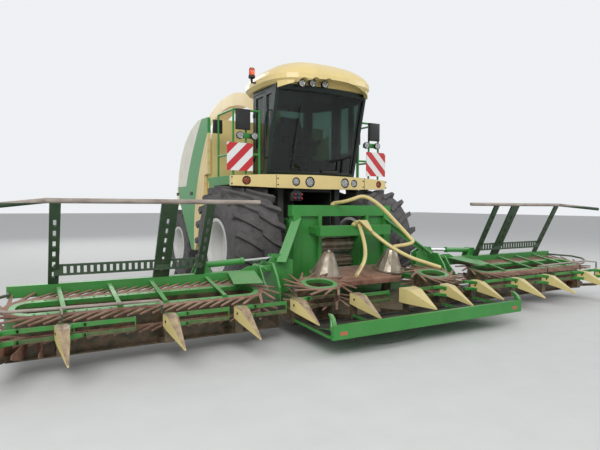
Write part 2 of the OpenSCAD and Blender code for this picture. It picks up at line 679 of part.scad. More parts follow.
// Columns: distance from the middle, height
work_lamps = [[-526, 3422], [-340, 3442], [-118, 3452]];
module lamps() place() color([0.9, 0.9, 0.86]) {
    for (p = bumper_lamps)
        translate([p[0], bumper_y + pow(p[0], 2) / 2 / bumper_r + 8, bumper_mid])
            rotate([-90, 0, 0])
            cylinder(h = 42, r = p[1] - seat);
    // Work lamps under the visor
    for (l = work_lamps) translate([l[0], -745, l[1]]) rotate([-90, 0, 0])
        cylinder(h = 85 - seat, r = 60);
    // Lamps on the hand rails
    both() {
        for (x = [deck_half - 358, deck_half - 122]) translate([x, -262, deck_z + deck_t + 605])
            rotate([-90, 0, 0]) cylinder(h = 66, r = 60);
        translate([deck_half - 380, -199, deck_z + deck_t + 580]) cube([280, 12 - seat, 50]);
    }
    // Beacon
    translate([-1015, 0, cab_top + 160]) {
        cylinder(h = 165, r = 56);
        translate([-15, -15, -90]) cube([30, 30, 91]);
        translate([-15, -15, -90]) cube([80 - seat, 30, 50]);
    }
}

module mirrors() place() color(black) both() {
    translate([deck_half - 290, -247 - seat, deck_z + deck_t + 695]) cube([225, 60, 310]);
}

module warning_boards() place() color([0.8, 0.1, 0.1]) both() {
    translate([deck_half - 341, -230, 2110]) cube([423, 12, 423]);
    translate([deck_half - 280, -218, 2180]) cube([60, 31 - seat, 200]);
}

// Discharge chute

// A rectangular duct swept round a cross axis at [y, z], from a0 to a1 degrees behind straight up
module bent_duct(centre, r, a0, a1, w, h, wall) {
    translate([0, centre[0], centre[1]]) rotate([-a0, 0, 0]) rotate([0, -90, 0])
        rotate_extrude(angle = a1 - a0, $fn = 360) difference() {
            translate([r - h / 2, -w / 2]) square([h, w]);
            translate([r - h / 2 + wall, -w / 2 + wall]) square([h - 2 * wall, w - 2 * wall]);
        }
}
duct_t = 8;
chute_ear_t = 12;
module chute_turret() place() color(cream) {
    translate([0, tower_y, tower_top + seat]) difference() {
        cylinder(h = elbow_z - tower_top - seat, r = tower_r + 70);
        translate([0, 0, -1]) cylinder(h = 200, r = min(chute_w, chute_h) / 2 - 15);
    }
    bent_duct([tower_y + elbow_r, elbow_z], elbow_r, -90, -bow_lean - 0.7, chute_w, chute_h, duct_t);
    // Ears with the pin on which the chute lifts
    both() {
        side_plate(chute_w / 2 - 1, chute_w / 2 + 1, [chute_pin + [-85, -90], chute_pin + [-60, -125],
            chute_pin + [5, -95], chute_pin + [-48, -62]]);
        side_plate(chute_w / 2 + seat, chute_w / 2 + chute_ear_t,
            [chute_pin + [-25, 25], chute_pin + [20, 25],
            chute_pin + [25, -10], chute_pin + [20, -90], chute_pin + [-60, -130], chute_pin + [-90, -90],
            chute_pin + [-60, -20]]);
        cross_pin(chute_w / 2, chute_w / 2 + 2 * chute_ear_t + 6, chute_pin, 15);
    }
}

// A point beside the flap's pin: out from the bow, and on towards its mouth
function at_bow(out, on) = flap_pin + out * [sin(bow_end), cos(bow_end)] + on * [cos(bow_end), -sin(bow_end)];
module chute_arm() place() color(cream) {
    bent_duct(bow_centre, chute_bow_r, -bow_lean + 0.3, bow_end, chute_w, chute_h, duct_t);
    both() {
        difference() {
            side_plate(chute_w / 2 + chute_ear_t + seat, chute_w / 2 + 2 * chute_ear_t,
                [chute_pin + [-32, -25],
                chute_pin + [60, -70], chute_pin + [230, 10], chute_pin + [200, 80], chute_pin + [-10, 35],
                chute_pin + [-32, 10]]);
            cross_pin(0, chute_w, chute_pin, 15.4);
        }
        side_plate(chute_w / 2 - 1, chute_w / 2 + chute_ear_t + 1,
            [chute_pin + [80, -50], chute_pin + [200, -10],
            chute_pin + [190, 50], chute_pin + [80, 20]]);
        side_plate(chute_w / 2 - duct_t + 1, chute_w / 2 - 1,
            [at_bow(-44, -60), at_bow(-10, -60), at_bow(14, -12),
            at_bow(10, 12), at_bow(-40, 12)]);
        cross_pin(chute_w / 2 - duct_t + 2, chute_w / 2 + 20, flap_pin, 12);
    }
}

// Deflector at the chute's mouth: a top plate between two cheeks
flap_t = 6;
module chute_flap() place() color(cream) {
    at = [0, flap_pin[0], flap_pin[1]];
    translate(at) rotate([-bow_end - 6, 0, 0]) {
        translate([-chute_w / 2 - 6 - flap_t, 15, 18])
            cube([chute_w + 12 + 2 * flap_t, flap_len - 15, flap_t]);
        both() difference() {
            side_plate(chute_w / 2 + 6, chute_w / 2 + 6 + flap_t,
                [[-25, -22], [60, -chute_h + 20], [flap_len, -120], [flap_len, 18], [15, 18], [-25, 18]]);
            cross_pin(0, chute_w, [0, 0], 12.4);
        }
    }
}

// Feeder

feeder_half = 380;
feeder_wall = 15;
ear_x = feeder_half + 6;
roll_r = [115, 95];
roll_at = [[-800, 985], [-780, 725]];       // y and z of the upper and the lower roll
roll_pin_r = 25;
module feeder_housing() place() color(green) {
    outer = [[header_y, 560], [-222, 620], [-222, 1150], [header_y, 1130]];
    inner = [[header_y - 10, 575], [-200, 637], [-200, 1133], [header_y - 10, 1115]];
    difference() {
        union() {
            side_plate(-feeder_half, feeder_half, outer);
            both() side_plate(feeder_half - 1, ear_x + 16,
                [[-600, 700], [-300, 680], [-300, 1100], [-600, 1100]]);
            // Flange that carries the header
            translate([-460, header_y, 500]) cube([920, 16, 700]);
        }
        side_plate(-feeder_half + feeder_wall, feeder_half - feeder_wall, inner);
        for (p = roll_at) cross_pin(-far, far, p, roll_pin_r + seat);
    }
    both() {
        difference() {
            side_plate(ear_x, ear_x + 16, [[-500, 700], [-250, 680], [-225, 900], [70, 1240], [70, 1350],
                [0, 1380], [-80, 1360], [-260, 1150], [-500, 1100]]);
            cross_pin(0, far, lift_pivot, 40 + seat);
        }
        // Fork for the lift cylinder's rod
        for (x = [lift_x - 50, lift_x + 34])
            side_plate(x, x + 16, [[-985, 500], [-890, 500], [-890, 566], [-985, 566]]);
        translate([lift_x - 50, -985, 500]) cube([100, 15, 66]);
        cross_pin(lift_x - 50, lift_x + 50, lift_eye, 14);
    }
    translate([-lift_x + 40, -985, 500]) cube([2 * lift_x - 80, 90, 72]);
}

// Ribbed roll turning in the feeder's side walls
module feed_roll(i) place() color(steel) {
    half = feeder_half - feeder_wall - 10;
    cross_pin(-half, half, roll_at[i], roll_r[i] - 25);
    cross_pin(-feeder_half, feeder_half, roll_at[i], roll_pin_r);
    for (a = [0 : 45 : 315]) translate([0, roll_at[i][0], roll_at[i][1]]) rotate([a, 0, 0])
        translate([-half, -6, 20]) cube([2 * half, 12, roll_r[i] - 20]);
}
module feed_roll_upper() feed_roll(0);
module feed_roll_lower() feed_roll(1);

// A hydraulic barrel from [y, z] towards another, drawn across the machine's width at x
cyl_r = 38;
rod_r = 22;
module barrel(length) {
    difference() {
        union() {
            cylinder(h = length, r = cyl_r);
            translate([0, 0, length - 50]) cylinder(h = 50, r = cyl_r + 6);
            sphere(r = cyl_r);
        }
        translate([0, 0, 60]) cylinder(h = length - 90, r = cyl_r - 7);
        translate([0, 0, 60]) cylinder(h = length, r = rod_r + 0.06);
    }
}
module piston_rod(eye, back) {
    translate([0, 0, eye - back]) cylinder(h = back - 20, r = rod_r);
    translate([0, 0, eye - back]) cylinder(h = 30, r = cyl_r - 7 - seat);
}
lift_length = norm(lift_eye - lift_foot);
module on_lift() both() translate([lift_x, lift_foot[0], lift_foot[1]])
    rotate([-90 + asin((lift_foot[1] - lift_eye[1]) / lift_length) * 1 + 180, 0, 0]) children();
module lift_barrels() place() color(frame_grey) on_lift() difference() {
    union() {
        barrel(560);
        rotate([0, 90, 0]) cylinder(h = 88, r = cyl_r + 4, center = true);
    }
    rotate([0, 90, 0]) cylinder(h = 120, r = lift_pin_r + seat, center = true);
}
module lift_rods() place() color(steel) on_lift() {
    difference() {
        union() {
            piston_rod(lift_length, 700);
            translate([0, 0, lift_length]) rotate([0, 90, 0]) cylinder(h = 66, r = 34, center = true);
        }
        translate([0, 0, lift_length]) rotate([0, 90, 0]) cylinder(h = 120, r = 24, center = true);
    }
}

// Header

deck_at = [-1989, 610];     // y and z of the middle of the chain loops, at the top of the fingers
module on_deck() translate([0, deck_at[0], deck_at[1]]) rotate([deck_tilt, 0, 0]) children();

// Height of the pan's top where the machine's y is given
function pan_z(y) = deck_at[1] - pan_drop / cos(deck_tilt) + (y - deck_at[0]) * tan(deck_tilt);

// A point on a loop of half length a and radius r, at distance s along it; out moves it away from
// the loop and on moves it forward along the loop
function turned(a, r, w, out, on) = [a + (r + out) * cos(w) - on * sin(w), (r + out) * sin(w) + on * cos(w)];
function loop_point(s, a, r, out, on) =
    let (l = 2 * a, c = PI * r, t = s % (2 * (l + c)))
    t < l ? [a - t - on, r + out] :
    t < l + c ? turned(-a, r, 90 + (t - l) / c * 180, out, on) :
    t < 2 * l + c ? [-a + (t - l - c) + on, -r - out] :
    turned(a, r, 270 + (t - 2 * l - c) / c * 180, out, on);

// One level of the chain: a ring with its swept blades in one outline
blade_w = 62;
// Columns: share of the blade's width along the chain, share of its reach and of its sweep
blade = [[0, 0, 0], [0.62, 1, 1], [0.8, 0.94, 1], [1, 0, 0]];
module chain_level(a, t) {
    total = 4 * a + 2 * PI * loop_r;
    n = floor(total / finger_pitch);
    step = total / n;
    reach = finger_len * cos(finger_sweep);
    lead = finger_len * sin(finger_sweep);
    linear_extrude(t) difference() {
        polygon([for (i = [0 : n - 1]) for (p = blade)
            loop_point(i * step + p[0] * blade_w, a, loop_r, p[1] * reach, p[2] * lead)]);
        hull() for (x = [-a, a]) translate([x, 0]) circle(r = loop_r - chain_w);
    }
}
module stadium(a, r, h) linear_extrude(h) union() {
    for (x = [-a, a]) translate([x, 0]) circle(r = r);
    translate([-a, -r]) square([2 * a, 2 * r]);
}
chain_drop = 200;     // from the upper to the lower fingers
pan_drop = 420;       // from the upper fingers to the pan
chain_t = 14;
chain_w = 50;         // width of the chain's ring
module at_loop(loop) translate([(loop[0] + loop[1]) / 2, 0, 0]) children();
function loop_a(loop) = (loop[1] - loop[0]) / 2 - loop_r;
module collector(loop) at_loop(loop)
    for (z = [-chain_t, -chain_drop]) translate([0, 0, z]) chain_level(loop_a(loop), chain_t);

// Guide that the chain runs round: a hollow wall with a flange under each level of the chain
// Columns: lower and upper height, outer radius less that of the loop
guide_bands = [[-pan_drop - 1, -chain_drop - 30, -80], [-chain_drop - 31, -chain_drop - seat, -25],
    [-chain_drop - 1, 0, -chain_w - 1.5], [-chain_drop + chain_t + seat, -chain_t - seat, -20]];
guide_wall = 60;
module chain_guide(loop) at_loop(loop) difference() {
    for (b = guide_bands) translate([0, 0, b[0]]) stadium(loop_a(loop), loop_r + b[2], b[1] - b[0]);
    translate([0, 0, -pan_drop]) stadium(loop_a(loop), loop_r - chain_w - guide_wall, pan_drop + 1);
}

// A crop point: wedge-shaped from above and from the side
// Columns: x, y of the base, z of the base's middle, y of the tip, z of the tip, width and height of the base
module crop_point(p) {
    translate([p[0], 0, 0]) intersection() {
        translate([0, 0, -100]) linear_extrude(far)
            polygon([[-p[5] / 2, p[1]], [p[5] / 2, p[1]], [p[5] / 2 * 0.9, p[1] - 120], [7, p[3]], [-7, p[3]],
                [-p[5] / 2 * 0.9, p[1] - 120]]);
        side_plate(-p[5], p[5], [[p[1], p[2] - p[6] / 2], [p[1], p[2] + p[6] / 2],
            [p[1] - 150, p[2] + p[6] / 2 - 12],
            [p[3], p[4] + 8], [p[3], p[4] - 8]]);
    }
}
base_y = -2394;
tip_y = base_y + 30 - point_len;
centre_points = [[0, base_y - 120, 470, -3030, 370, 260, 180],
    [row_pitch, base_y - 20, 470, tip_y, 320, 140, 130],
    [2 * row_pitch, base_y + 110, 450, tip_y + 120, 310, 140, 130]];
wing_xs = [3 * row_pitch, 4 * row_pitch, 3960, wing_end + 70];
module header_points() place() color(cream) {
    crop_point(centre_points[0]);
    both() for (i = [1, 2]) crop_point(centre_points[i]);
}
module wing_points(s) place() color(cream) on_side(s)
    for (x = wing_xs) crop_point([x, base_y, 455, tip_y, 285, 124, 120]);
// Bracket from the pan's front edge up to the back of a crop point
module point_bracket(p, foot_x) {
    bar([foot_x, -2040, pan_z(-2040) + 14], [p[0], p[1] + 10, 240], 80, 40);
    translate([p[0] - 45, p[1], 222]) cube([90, 25, 296]);
}
// Strips in front of the two levels of the chain, from a crop point towards the machine's middle
strip_z = [490, 392];
module guide_strips(p, end_x) {
    for (z = strip_z) bar([p[0] - 40, p[1] + 19, z], [end_x, p[1] + 19, z], 10, 42);
    translate([end_x - 5, p[1] + 14, strip_z[1] - 21]) cube([10, 40, strip_z[0] - strip_z[1] + 42]);
}

centre_loop = [690, 1275];
wing_loop = [1800, wing_end];
end_wall = [1440, 1470];
module header_frame() place() color(green) {
    back = [-1130, -1000.3];
    // Cross tubes
    translate([-900, back[0] + 10, 1430]) cube([1800, 130 - 10, 160]);
    translate([-end_wall[0], back[0], 420]) cube([2 * end_wall[0], 129.7, 130]);
    translate([-630, -1450, 1160]) cube([1260, 120, 140]);
    both() {
        translate([760, back[0], 500]) cube([120, 129.7, 960]);
        translate([540, -1340, 1180]) cube([50, 350 - 1, 100]);
        translate([400, back[0] + 60, 500]) cube([380, 40, 960]);
        translate([400, back[0], 500]) cube([60, 129.7, 960]);
        // Sloping legs from the top tube down to the fold brackets, each with a rib on its back
        bar([800, -1090, 1400], [1330, -1610, 850], 130, 20);
        bar([830, -1095, 1340], [1300, -1560, 850], 16, 90);
        // End wall, fold bracket and hinge
        side_plate(end_wall[0], end_wall[1], [[-1000.3, 420], [-1000.3, 560], [-1300, 850], [-1620, 850],
            [-1740, 700], [-1815, 560], [-1830, 390], [-2120, 340], [-2120, pan_z(-2120) - 12],
            [-1300, pan_z(-1300) - 12]]);
        for (y = [fold_y - 60, fold_y + 40]) front_plate(y, y + 20, [[1100, 560], [1460, 430], [1460, 850],
            [1400, 945], [1280, 945], [1100, 860]]);
        // Arm from the lower tube out to the fold brackets
        translate([1120, fold_y - 60, 440]) cube([330, back[0] - fold_y + 61, 60]);
        for (y = [fold_y - 72, fold_y + 59]) long_pin(y, y + 13, fold_eye, rod_pin_r + 8);
        for (y = [-1600, -1370 + seat]) {
            long_pin(y, y + 70 - seat, [hinge_x, hinge_z], 40);
            translate([end_wall[1] - 5, y, hinge_z - 35]) cube([hinge_x - end_wall[1] + 5, 70 - seat, 70]);
        }
        for (i = [1, 2]) {
            point_bracket(centre_points[i], min(centre_points[i][0], end_wall[0]));
            guide_strips(centre_points[i], centre_points[i][0] - 560);
        }
        cone_boss();
        on_deck() chain_guide(centre_loop);
    }
    point_bracket(centre_points[0], 0);
    // Pan
    on_deck() translate([-end_wall[1], -200, -pan_drop - 14]) cube([2 * end_wall[1], 1060, 14]);
    // Hinge pins
    both() long_pin(-1640, -1290, [hinge_x, hinge_z], 18);
}
module cone_boss() translate([560, 0, 0]) on_deck() translate([0, cone_y, -pan_drop - 1]) difference() {
    cylinder(h = pan_drop - 74, r = 70);
    translate([0, 0, 60]) cylinder(h = far, r = 30 + seat);
}
cone_y = 492;
module header_collector() place() color(rust) both() on_deck() collector(centre_loop);

module cone(s) place() color(steel) on_side(s) translate([560, 0, 0]) on_deck() translate([0, cone_y, 0]) {
    translate([0, 0, -70]) cylinder(h = 14, r = 235);
    translate([0, 0, -56]) cylinder(h = 300, r1 = 205, r2 = 70, $fn = 12);
    translate([0, 0, -pan_drop + 80]) cylinder(h = pan_drop - 100, r = 30);
}
module cone_left() cone(1);
module cone_right() cone(-1);

module crop_pusher() place() color(cream) {
    r = 28;
    // Feet on the header's tubes
    translate([-205, -1130, 1590 + seat]) cube([70, 80, 50]);
    translate([-40, -1435, 1300 + seat]) cube([80, 90, 50]);
    // Bow from the top tube over to the right
    tube([[-170, -1085, 1600 + r], [-170, -1450, 1650], [90, -1600, 1770], [620, -1860, 1150],
        [620, -1990, 1060],
        [340, -1850, 1010]], r);
    tube([[0, -1390, 1310 + r], [0, -1480, 1370], [-290, -2080, 930], [-640, -2300, 720]], r);
    tube([[0, -1480, 1370], [240, -2080, 930], [800, -2300, 740]], r);
}

module transport_guard() place() color(green) {
    translate([-guard_half, -3075, 200]) cube([2 * guard_half, 50, 150]);
    both() for (i = [1, 2])
        bar([centre_points[i][0], -3030, 230], [centre_points[i][0], centre_points[i][1] - 1.2, 262], 50, 30);
    // Mat behind the beam
    bar([0, -3026, 300], [0, -2515, 228], 2 * guard_half - 20, 6);
}

// Wing
beam_y = [-1555, -1435];
beam_z = [640, 760];
module wing_frame(s) place() color(green) on_side(s) {
    translate([hinge_x + 60, beam_y[0], beam_z[0]]) cube([wing_end - 40 - hinge_x - 60, 120, 120]);
    // End plate with the hinge knuckle
    difference() {
        union() {
            side_plate(hinge_x + 55, hinge_x + 75, [[-1600, 800], [-1372, 800], [-1372, 700], [-1480, 560],
                [-1510, pan_z(-1510) - 12], [-2120, pan_z(-2120) - 12], [-2120, 340], [-1830, 390],
                [-1815, 560], [-1720, 640]]);
            long_pin(-1530, -1370, [hinge_x, hinge_z], 40);
            translate([hinge_x, -1530, hinge_z - 35]) cube([60, 160, 55]);
        }
        long_pin(-far, far, [hinge_x, hinge_z], 18 + seat);
    }
    // Ribs down to the pan
    for (x = [2500, 3400, wing_end - 80]) side_plate(x, x + 16, [[beam_y[0], beam_z[0] + 1],
        [beam_y[0] + 74, beam_z[0] + 1], [beam_y[0] + 74, 560], [-1505, pan_z(-1505) - 8],
        [beam_y[0], pan_z(beam_y[0]) - 8]]);
    on_deck() {
        translate([hinge_x + 60, -200, -pan_drop - 14]) cube([wing_end - hinge_x - 85, 622, 14]);
        chain_guide(wing_loop);
        // Ribs over the chain that tie its guide to the beam
        for (x = [2300, 2950, 3400, 3900]) {
            translate([x, -185, 16]) cube([44, 640, 14]);
            for (y = [-185, 130]) translate([x, y, -1]) cube([44, 50, 18]);
        }
    }
    for (x = wing_xs) point_bracket([x, base_y], min(x, wing_end - 80));
    for (x = wing_xs) guide_strips([x, base_y], max(x - 640, hinge_x + 110));
    // Plate between the hinge and the beam
    front_plate(beam_y[0], beam_y[0] + 16, [[hinge_x + 56, 640], [1900, beam_z[1] + 1], [1760, 820],
        [hinge_x + 56, 820]]);
    // Sloping sheet over the chain's inner end
    bar([1868, beam_y[0] + 6, 763], [2000, -2080, 690], 340, 8);
    // Ears for the fold cylinder's barrel
    for (y = [fold_y - 65, fold_y + 45]) front_plate(y, y + 20, [[fold_foot[0] - 110, beam_z[1] - 1],
        [fold_foot[0] + 110, beam_z[1] - 1], [fold_foot[0] + 45, fold_foot[1] + 45],
        [fold_foot[0] - 45, fold_foot[1] + 45]]);
    long_pin(fold_y - 65, fold_y + 65, fold_foot, fold_pin_r);
    translate([fold_foot[0] - 110, beam_y[1] - 1, beam_z[0]]) cube([220, fold_y + 66 - beam_y[1], 120]);
}
module wing_collector(s) place() color(rust) on_side(s) on_deck() collector(wing_loop);

// Posts, perforated rail and the tube on top that keep long stalks off the machine
post_foot = [-1540, 760];
post_head = [-1950, 1600];
post_way = (post_head - post_foot) / norm(post_head - post_foot);
module wing_guard(s) place() color(dark_green) on_side(s) {
    posts = [[2400, 100], [2860, 180], [3970, 100]];
    for (p = posts) difference() {
        bar([p[0], post_foot[0], post_foot[1]], [p[0], post_head[0], post_head[1]], p[1], 30);
        translate([0, 0, -far + post_foot[1]]) cube([far, far, 2 * far], center = true);
        for (at = [120 : 120 : 720]) translate([p[0], post_foot[0] + at * post_way[0],
            post_foot[1] + at * post_way[1]])
            rotate([atan2(post_way[1], post_way[0]), 0, 0]) cube([30, 70, 60], center = true);
    }
    // Slotted rails between the posts
    slot = [30, 70];
    slot_pitch = 65;
    for (x = [[2400, 2860], [2860, 3970]]) difference() {
        translate([x[0], post_foot[0] - 90, 850]) cube([x[1] - x[0], 10, 120]);
        for (u = [x[0] + 80 : slot_pitch : x[1] - 80])
            translate([u, post_foot[0] - 95, 875]) cube([slot[0], 20, slot[1]]);
    }
    stalk_tube();
    tube([[1800, post_head[0], post_head[1] + 20], [4050, post_head[0], post_head[1] + 20],
        [4650, -2300, 1550]], 26);
}

// Tube that guides the stalks over the front of the chain and round the wing's outer end, on stays
// that stand on the crop points
module stalk_tube() {
    r = 15;
    front_y = -2250;
    top = [624, 640];
    end_x = 4375;
    tube([[3060, front_y, top[0]], [4400, front_y, top[1]], [4560, -2080, 664], [4575, -1880, 684],
        [end_x, -1700, 700], [end_x, beam_y[0] - seat, 700]], r);
    stay_y = base_y - 23;
    stay_z = 529.4 + seat;     // on top of a crop point
    // Columns: x of a stay, y of the tube there
    for (p = [[3075, front_y], [wing_xs[2], front_y], [wing_xs[3] - 60, -2207]]) {
        translate([p[0] - 8, stay_y, stay_z]) cube([16, 16, top[1] - stay_z]);
        translate([p[0] - 8, stay_y, top[1] - 16]) cube([16, p[1] - stay_y, 16]);
    }
}

// Fold cylinder: its barrel swings between the wing's ears and its rod's eye lies on the middle frame
fold_foot = [2350, 850];      // x and z of the barrel's pin
fold_eye = [1340, 900];       // x and z of the rod's pin
fold_y = -1450;
fold_pin_r = 18;
rod_pin_r = 18;
fold_length = norm(fold_eye - fold_foot);
module on_fold(s) on_side(s) translate([fold_foot[0], fold_y, fold_foot[1]])
    rotate([0, atan2(fold_eye[0] - fold_foot[0], fold_eye[1] - fold_foot[1]), 0]) children();
module fold_barrel(s) place() color(green) on_fold(s) difference() {
    union() {
        barrel(560);
        rotate([90, 0, 0]) cylinder(h = 88, r = cyl_r + 4, center = true);
    }
    rotate([90, 0, 0]) cylinder(h = 120, r = fold_pin_r + seat, center = true);
}
module fold_rod(s) place() color(steel) on_fold(s) {
    piston_rod(fold_length, fold_length - 450);
    // Eye with its pin
    translate([0, 0, fold_length]) rotate([90, 0, 0]) {
        cylinder(h = 56, r = 36, center = true);
        cylinder(h = 66, r = rod_pin_r, center = true);
    }
}

module wing_frame_left() wing_frame(1);
module wing_frame_right() wing_frame(-1);
module wing_collector_left() wing_collector(1);
module wing_collector_right() wing_collector(-1);
module wing_points_left() wing_points(1);
module wing_points_right() wing_points(-1);
module wing_guard_left() wing_guard(1);
module wing_guard_right() wing_guard(-1);
module fold_barrel_left() fold_barrel(1);
module fold_barrel_right() fold_barrel(-1);
module fold_rod_left() fold_rod(1);
module fold_rod_right() fold_rod(-1);

main_frame();
front_axle();
rear_axle();
engine_block();
crop_tunnel();
cab_shell();
cab_glass();
cab_roof();
driver_seat();
control_console();
front_bumper();
platforms();
side_panels();
rear_hood();
radiator_grille();
lamps();
mirrors();
warning_boards();
door_left();
door_left_glass();
door_right();
door_right_glass();
front_tyre_left();
front_rim_left();
front_tyre_right();
front_rim_right();
rear_tyre_left();
rear_rim_left();
rear_tyre_right();
rear_rim_right();
knuckle_left();
knuckle_right();
chute_turret();
chute_arm();
chute_flap();
feeder_housing();
feed_roll_upper();
feed_roll_lower();
lift_barrels();
lift_rods();
header_frame();
header_collector();
header_points();
crop_pusher();
transport_guard();
cone_left();
cone_right();
wing_frame_left();
wing_collector_left();
wing_points_left();
wing_guard_left();
fold_barrel_left();
fold_rod_left();
wing_frame_right();
wing_collector_right();
wing_points_right();
wing_guard_right();
fold_barrel_right();
fold_rod_right();
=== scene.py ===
import math

import bmesh
import bpy
from mathutils import Matrix, Vector


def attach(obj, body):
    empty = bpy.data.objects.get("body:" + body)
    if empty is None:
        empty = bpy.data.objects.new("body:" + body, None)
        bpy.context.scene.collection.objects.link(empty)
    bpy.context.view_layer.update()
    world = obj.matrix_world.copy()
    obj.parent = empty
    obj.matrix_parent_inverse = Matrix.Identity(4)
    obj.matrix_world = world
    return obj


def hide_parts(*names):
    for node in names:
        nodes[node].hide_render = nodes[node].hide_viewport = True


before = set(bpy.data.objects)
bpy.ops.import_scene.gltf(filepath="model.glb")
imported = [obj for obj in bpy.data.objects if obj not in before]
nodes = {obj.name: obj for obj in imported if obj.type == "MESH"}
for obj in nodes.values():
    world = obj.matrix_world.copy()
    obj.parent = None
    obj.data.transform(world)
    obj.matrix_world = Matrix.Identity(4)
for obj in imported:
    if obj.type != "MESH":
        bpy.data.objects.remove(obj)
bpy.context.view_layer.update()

bpy.ops.object.select_all(action="DESELECT")


# ----------
# The studio: a pale floor, an even sky and three soft lights, seen from the photograph's place.
# The camera stands at a person's eye height in front of the machine's right side.
eye = Vector((-4.338, -8.296, 1.594))
heading, tilt, lean = 0.52684, -0.04055, 0.00614   # turned to +X, looking down, rolled
pixels_wide, focal_pixels, film_width = 600, 497.13, 36.0

sight = Vector((math.sin(heading) * math.cos(tilt), math.cos(heading) * math.cos(tilt), math.sin(tilt)))
level = Vector((math.cos(heading), -math.sin(heading), 0))
upward = level.cross(sight)
across = level * math.cos(lean) + upward * math.sin(lean)
upright = upward * math.cos(lean) - level * math.sin(lean)
lens = bpy.data.cameras.new("camera")
lens.sensor_width = film_width
lens.lens = film_width * focal_pixels / pixels_wide
lens.clip_end = 200
camera = bpy.data.objects.new("camera", lens)
camera.matrix_world = Matrix.Translation(eye) @ Matrix((across, upright, -sight)).transposed().to_4x4()
bpy.context.scene.collection.objects.link(camera)
bpy.context.scene.camera = camera
bpy.context.scene.view_settings.view_transform = "Standard"


class Wire:
    """A value on its way between a finish's nodes. Sums, products and the like add Math nodes."""

    def __init__(self, finish, socket):
        self.finish, self.socket = finish, socket

    def held(self, low=0.0, high=1.0):
        """The value stretched so that low becomes 0 and high becomes 1, and kept between them."""
        return self.finish.node("MapRange", {"clamp": True}, {0: self, 1: low, 2: high, 3: 0.0, 4: 1.0})

    def between(self, low, high):
        """1 where the value lies between these two, and 0 elsewhere."""
        return (self > low) * (self < high)

    def __rsub__(self, other):
        return self.finish.maths("SUBTRACT", other, self)

    def __abs__(self):
        return self.finish.maths("ABSOLUTE", self)


for sign, operation in (("add", "ADD"), ("sub", "SUBTRACT"), ("mul", "MULTIPLY"), ("rmul", "MULTIPLY"),
                        ("truediv", "DIVIDE"), ("gt", "GREATER_THAN"), ("lt", "LESS_THAN")):
    setattr(Wire, "__" + sign + "__",
            lambda self, other, operation=operation: self.finish.maths(operation, self, other))


class Finish:
    """One surface finish: its material, its shader, and the place and facing that patterns are read from."""

    def __init__(self, name, **constants):
        self.material = bpy.data.materials.new(name)
        self.material.use_nodes = True
        self.tree = self.material.node_tree
        self.shader = self.tree.nodes["Principled BSDF"]
        for socket, value in constants.items():
            self.shader.inputs[socket.replace("_", " ")].default_value = value
        self.place = self.node("TexCoord", output="Object")
        self.facing = self.node("SeparateXYZ", {}, {0: self.node("TexCoord", output="Normal")}, "Z")
        xyz = self.node("SeparateXYZ", {}, {0: self.place})
        self.x, self.y, self.z = (Wire(self, xyz.socket.node.outputs[i]) for i in range(3))

    def node(self, kind, settings=None, inputs=None, output=0):
        """A node of this kind with its settings made first and then its sockets set or joined."""
        made = self.tree.nodes.new("ShaderNode" + kind)
        for key, value in (settings or {}).items():
            setattr(made, key, value)
        for key, value in (inputs or {}).items():
            if isinstance(value, Wire):
                self.tree.links.new(value.socket, made.inputs[key])
            else:
                made.inputs[key].default_value = value
        return Wire(self, made.outputs[output])

    def maths(self, operation, first, second=0.0):
        return self.node("Math", {"operation": operation}, {0: first, 1: second})

    def noise(self, scale, detail=4.0, rough=0.55, stretch=None, distortion=0.0):
        """Cloudy noise, from 0 to 1, that is finer the larger its scale."""
        place = self.place
        if stretch:
            place = self.node("Mapping", {}, {0: place, 3: stretch})
        return self.node("TexNoise", {}, {"Vector": place, "Scale": scale, "Detail": detail,
                                          "Roughness": rough, "Distortion": distortion})

    def mix(self, mask, under, over):
        """Colour under where the mask is 0 and colour over where it is 1."""
        return self.node("Mix", {"data_type": "RGBA"}, {0: mask, 6: under, 7: over}, 2)

    def edges(self, width):
        """A mask that is 1 on sharp outer and inner corners, to about this width in metres."""
        rounded = self.node("Bevel", {"samples": 4}, {"Radius": width})
        true = self.node("NewGeometry", output="True Normal")
        along = self.node("VectorMath", {"operation": "DOT_PRODUCT"}, {0: rounded, 1: true}, "Value")
        return (1.0 - along).held(0.01, 0.16)

    def give(self, colour=None, roughness=None, metallic=None, height=None, depth=0.002, soft_edge=None):
        """Joins the finished wires to the shader. Height is a relief of this depth, in metres."""
        for socket, wire in (("Base Color", colour), ("Roughness", roughness), ("Metallic", metallic)):
            if wire is not None:
                self.tree.links.new(wire.socket, self.shader.inputs[socket])
        normal = self.node("Bevel", {"samples": 4}, {"Radius": soft_edge}) if soft_edge else None
        if height is not None:
            relief = {"Height": height, "Distance": depth, "Strength": 1.0}
            if normal:
                relief["Normal"] = normal
            normal = self.node("Bump", {}, relief)
        if normal:
            self.tree.links.new(normal.socket, self.shader.inputs["Normal"])
        return self.material


def tone(red, green, blue):
    """A colour as a colour card gives it, from 0 to 255, in the shader's own light values."""
    return tuple((c / 255 / 12.92 if c <= 10 else ((c / 255 + 0.055) / 1.055) ** 2.4)
                 for c in (red, green, blue)) + (1.0,)


def wear(finish, *names):
    """Gives the finish to these CAD nodes."""
    for name in names:
        nodes[name].data.materials.clear()
        nodes[name].data.materials.append(finish)


floor_grey = Finish("floor", Roughness=0.85)
speckle = floor_grey.noise(3.0, 3.0)
floor_grey.give(floor_grey.mix(speckle, tone(196, 196, 194), tone(206, 206, 204)))
bpy.ops.mesh.primitive_plane_add(size=160, location=(0, 0, 0))
floor = bpy.context.object
floor.name = "floor"
floor.data.materials.append(floor_grey.material)

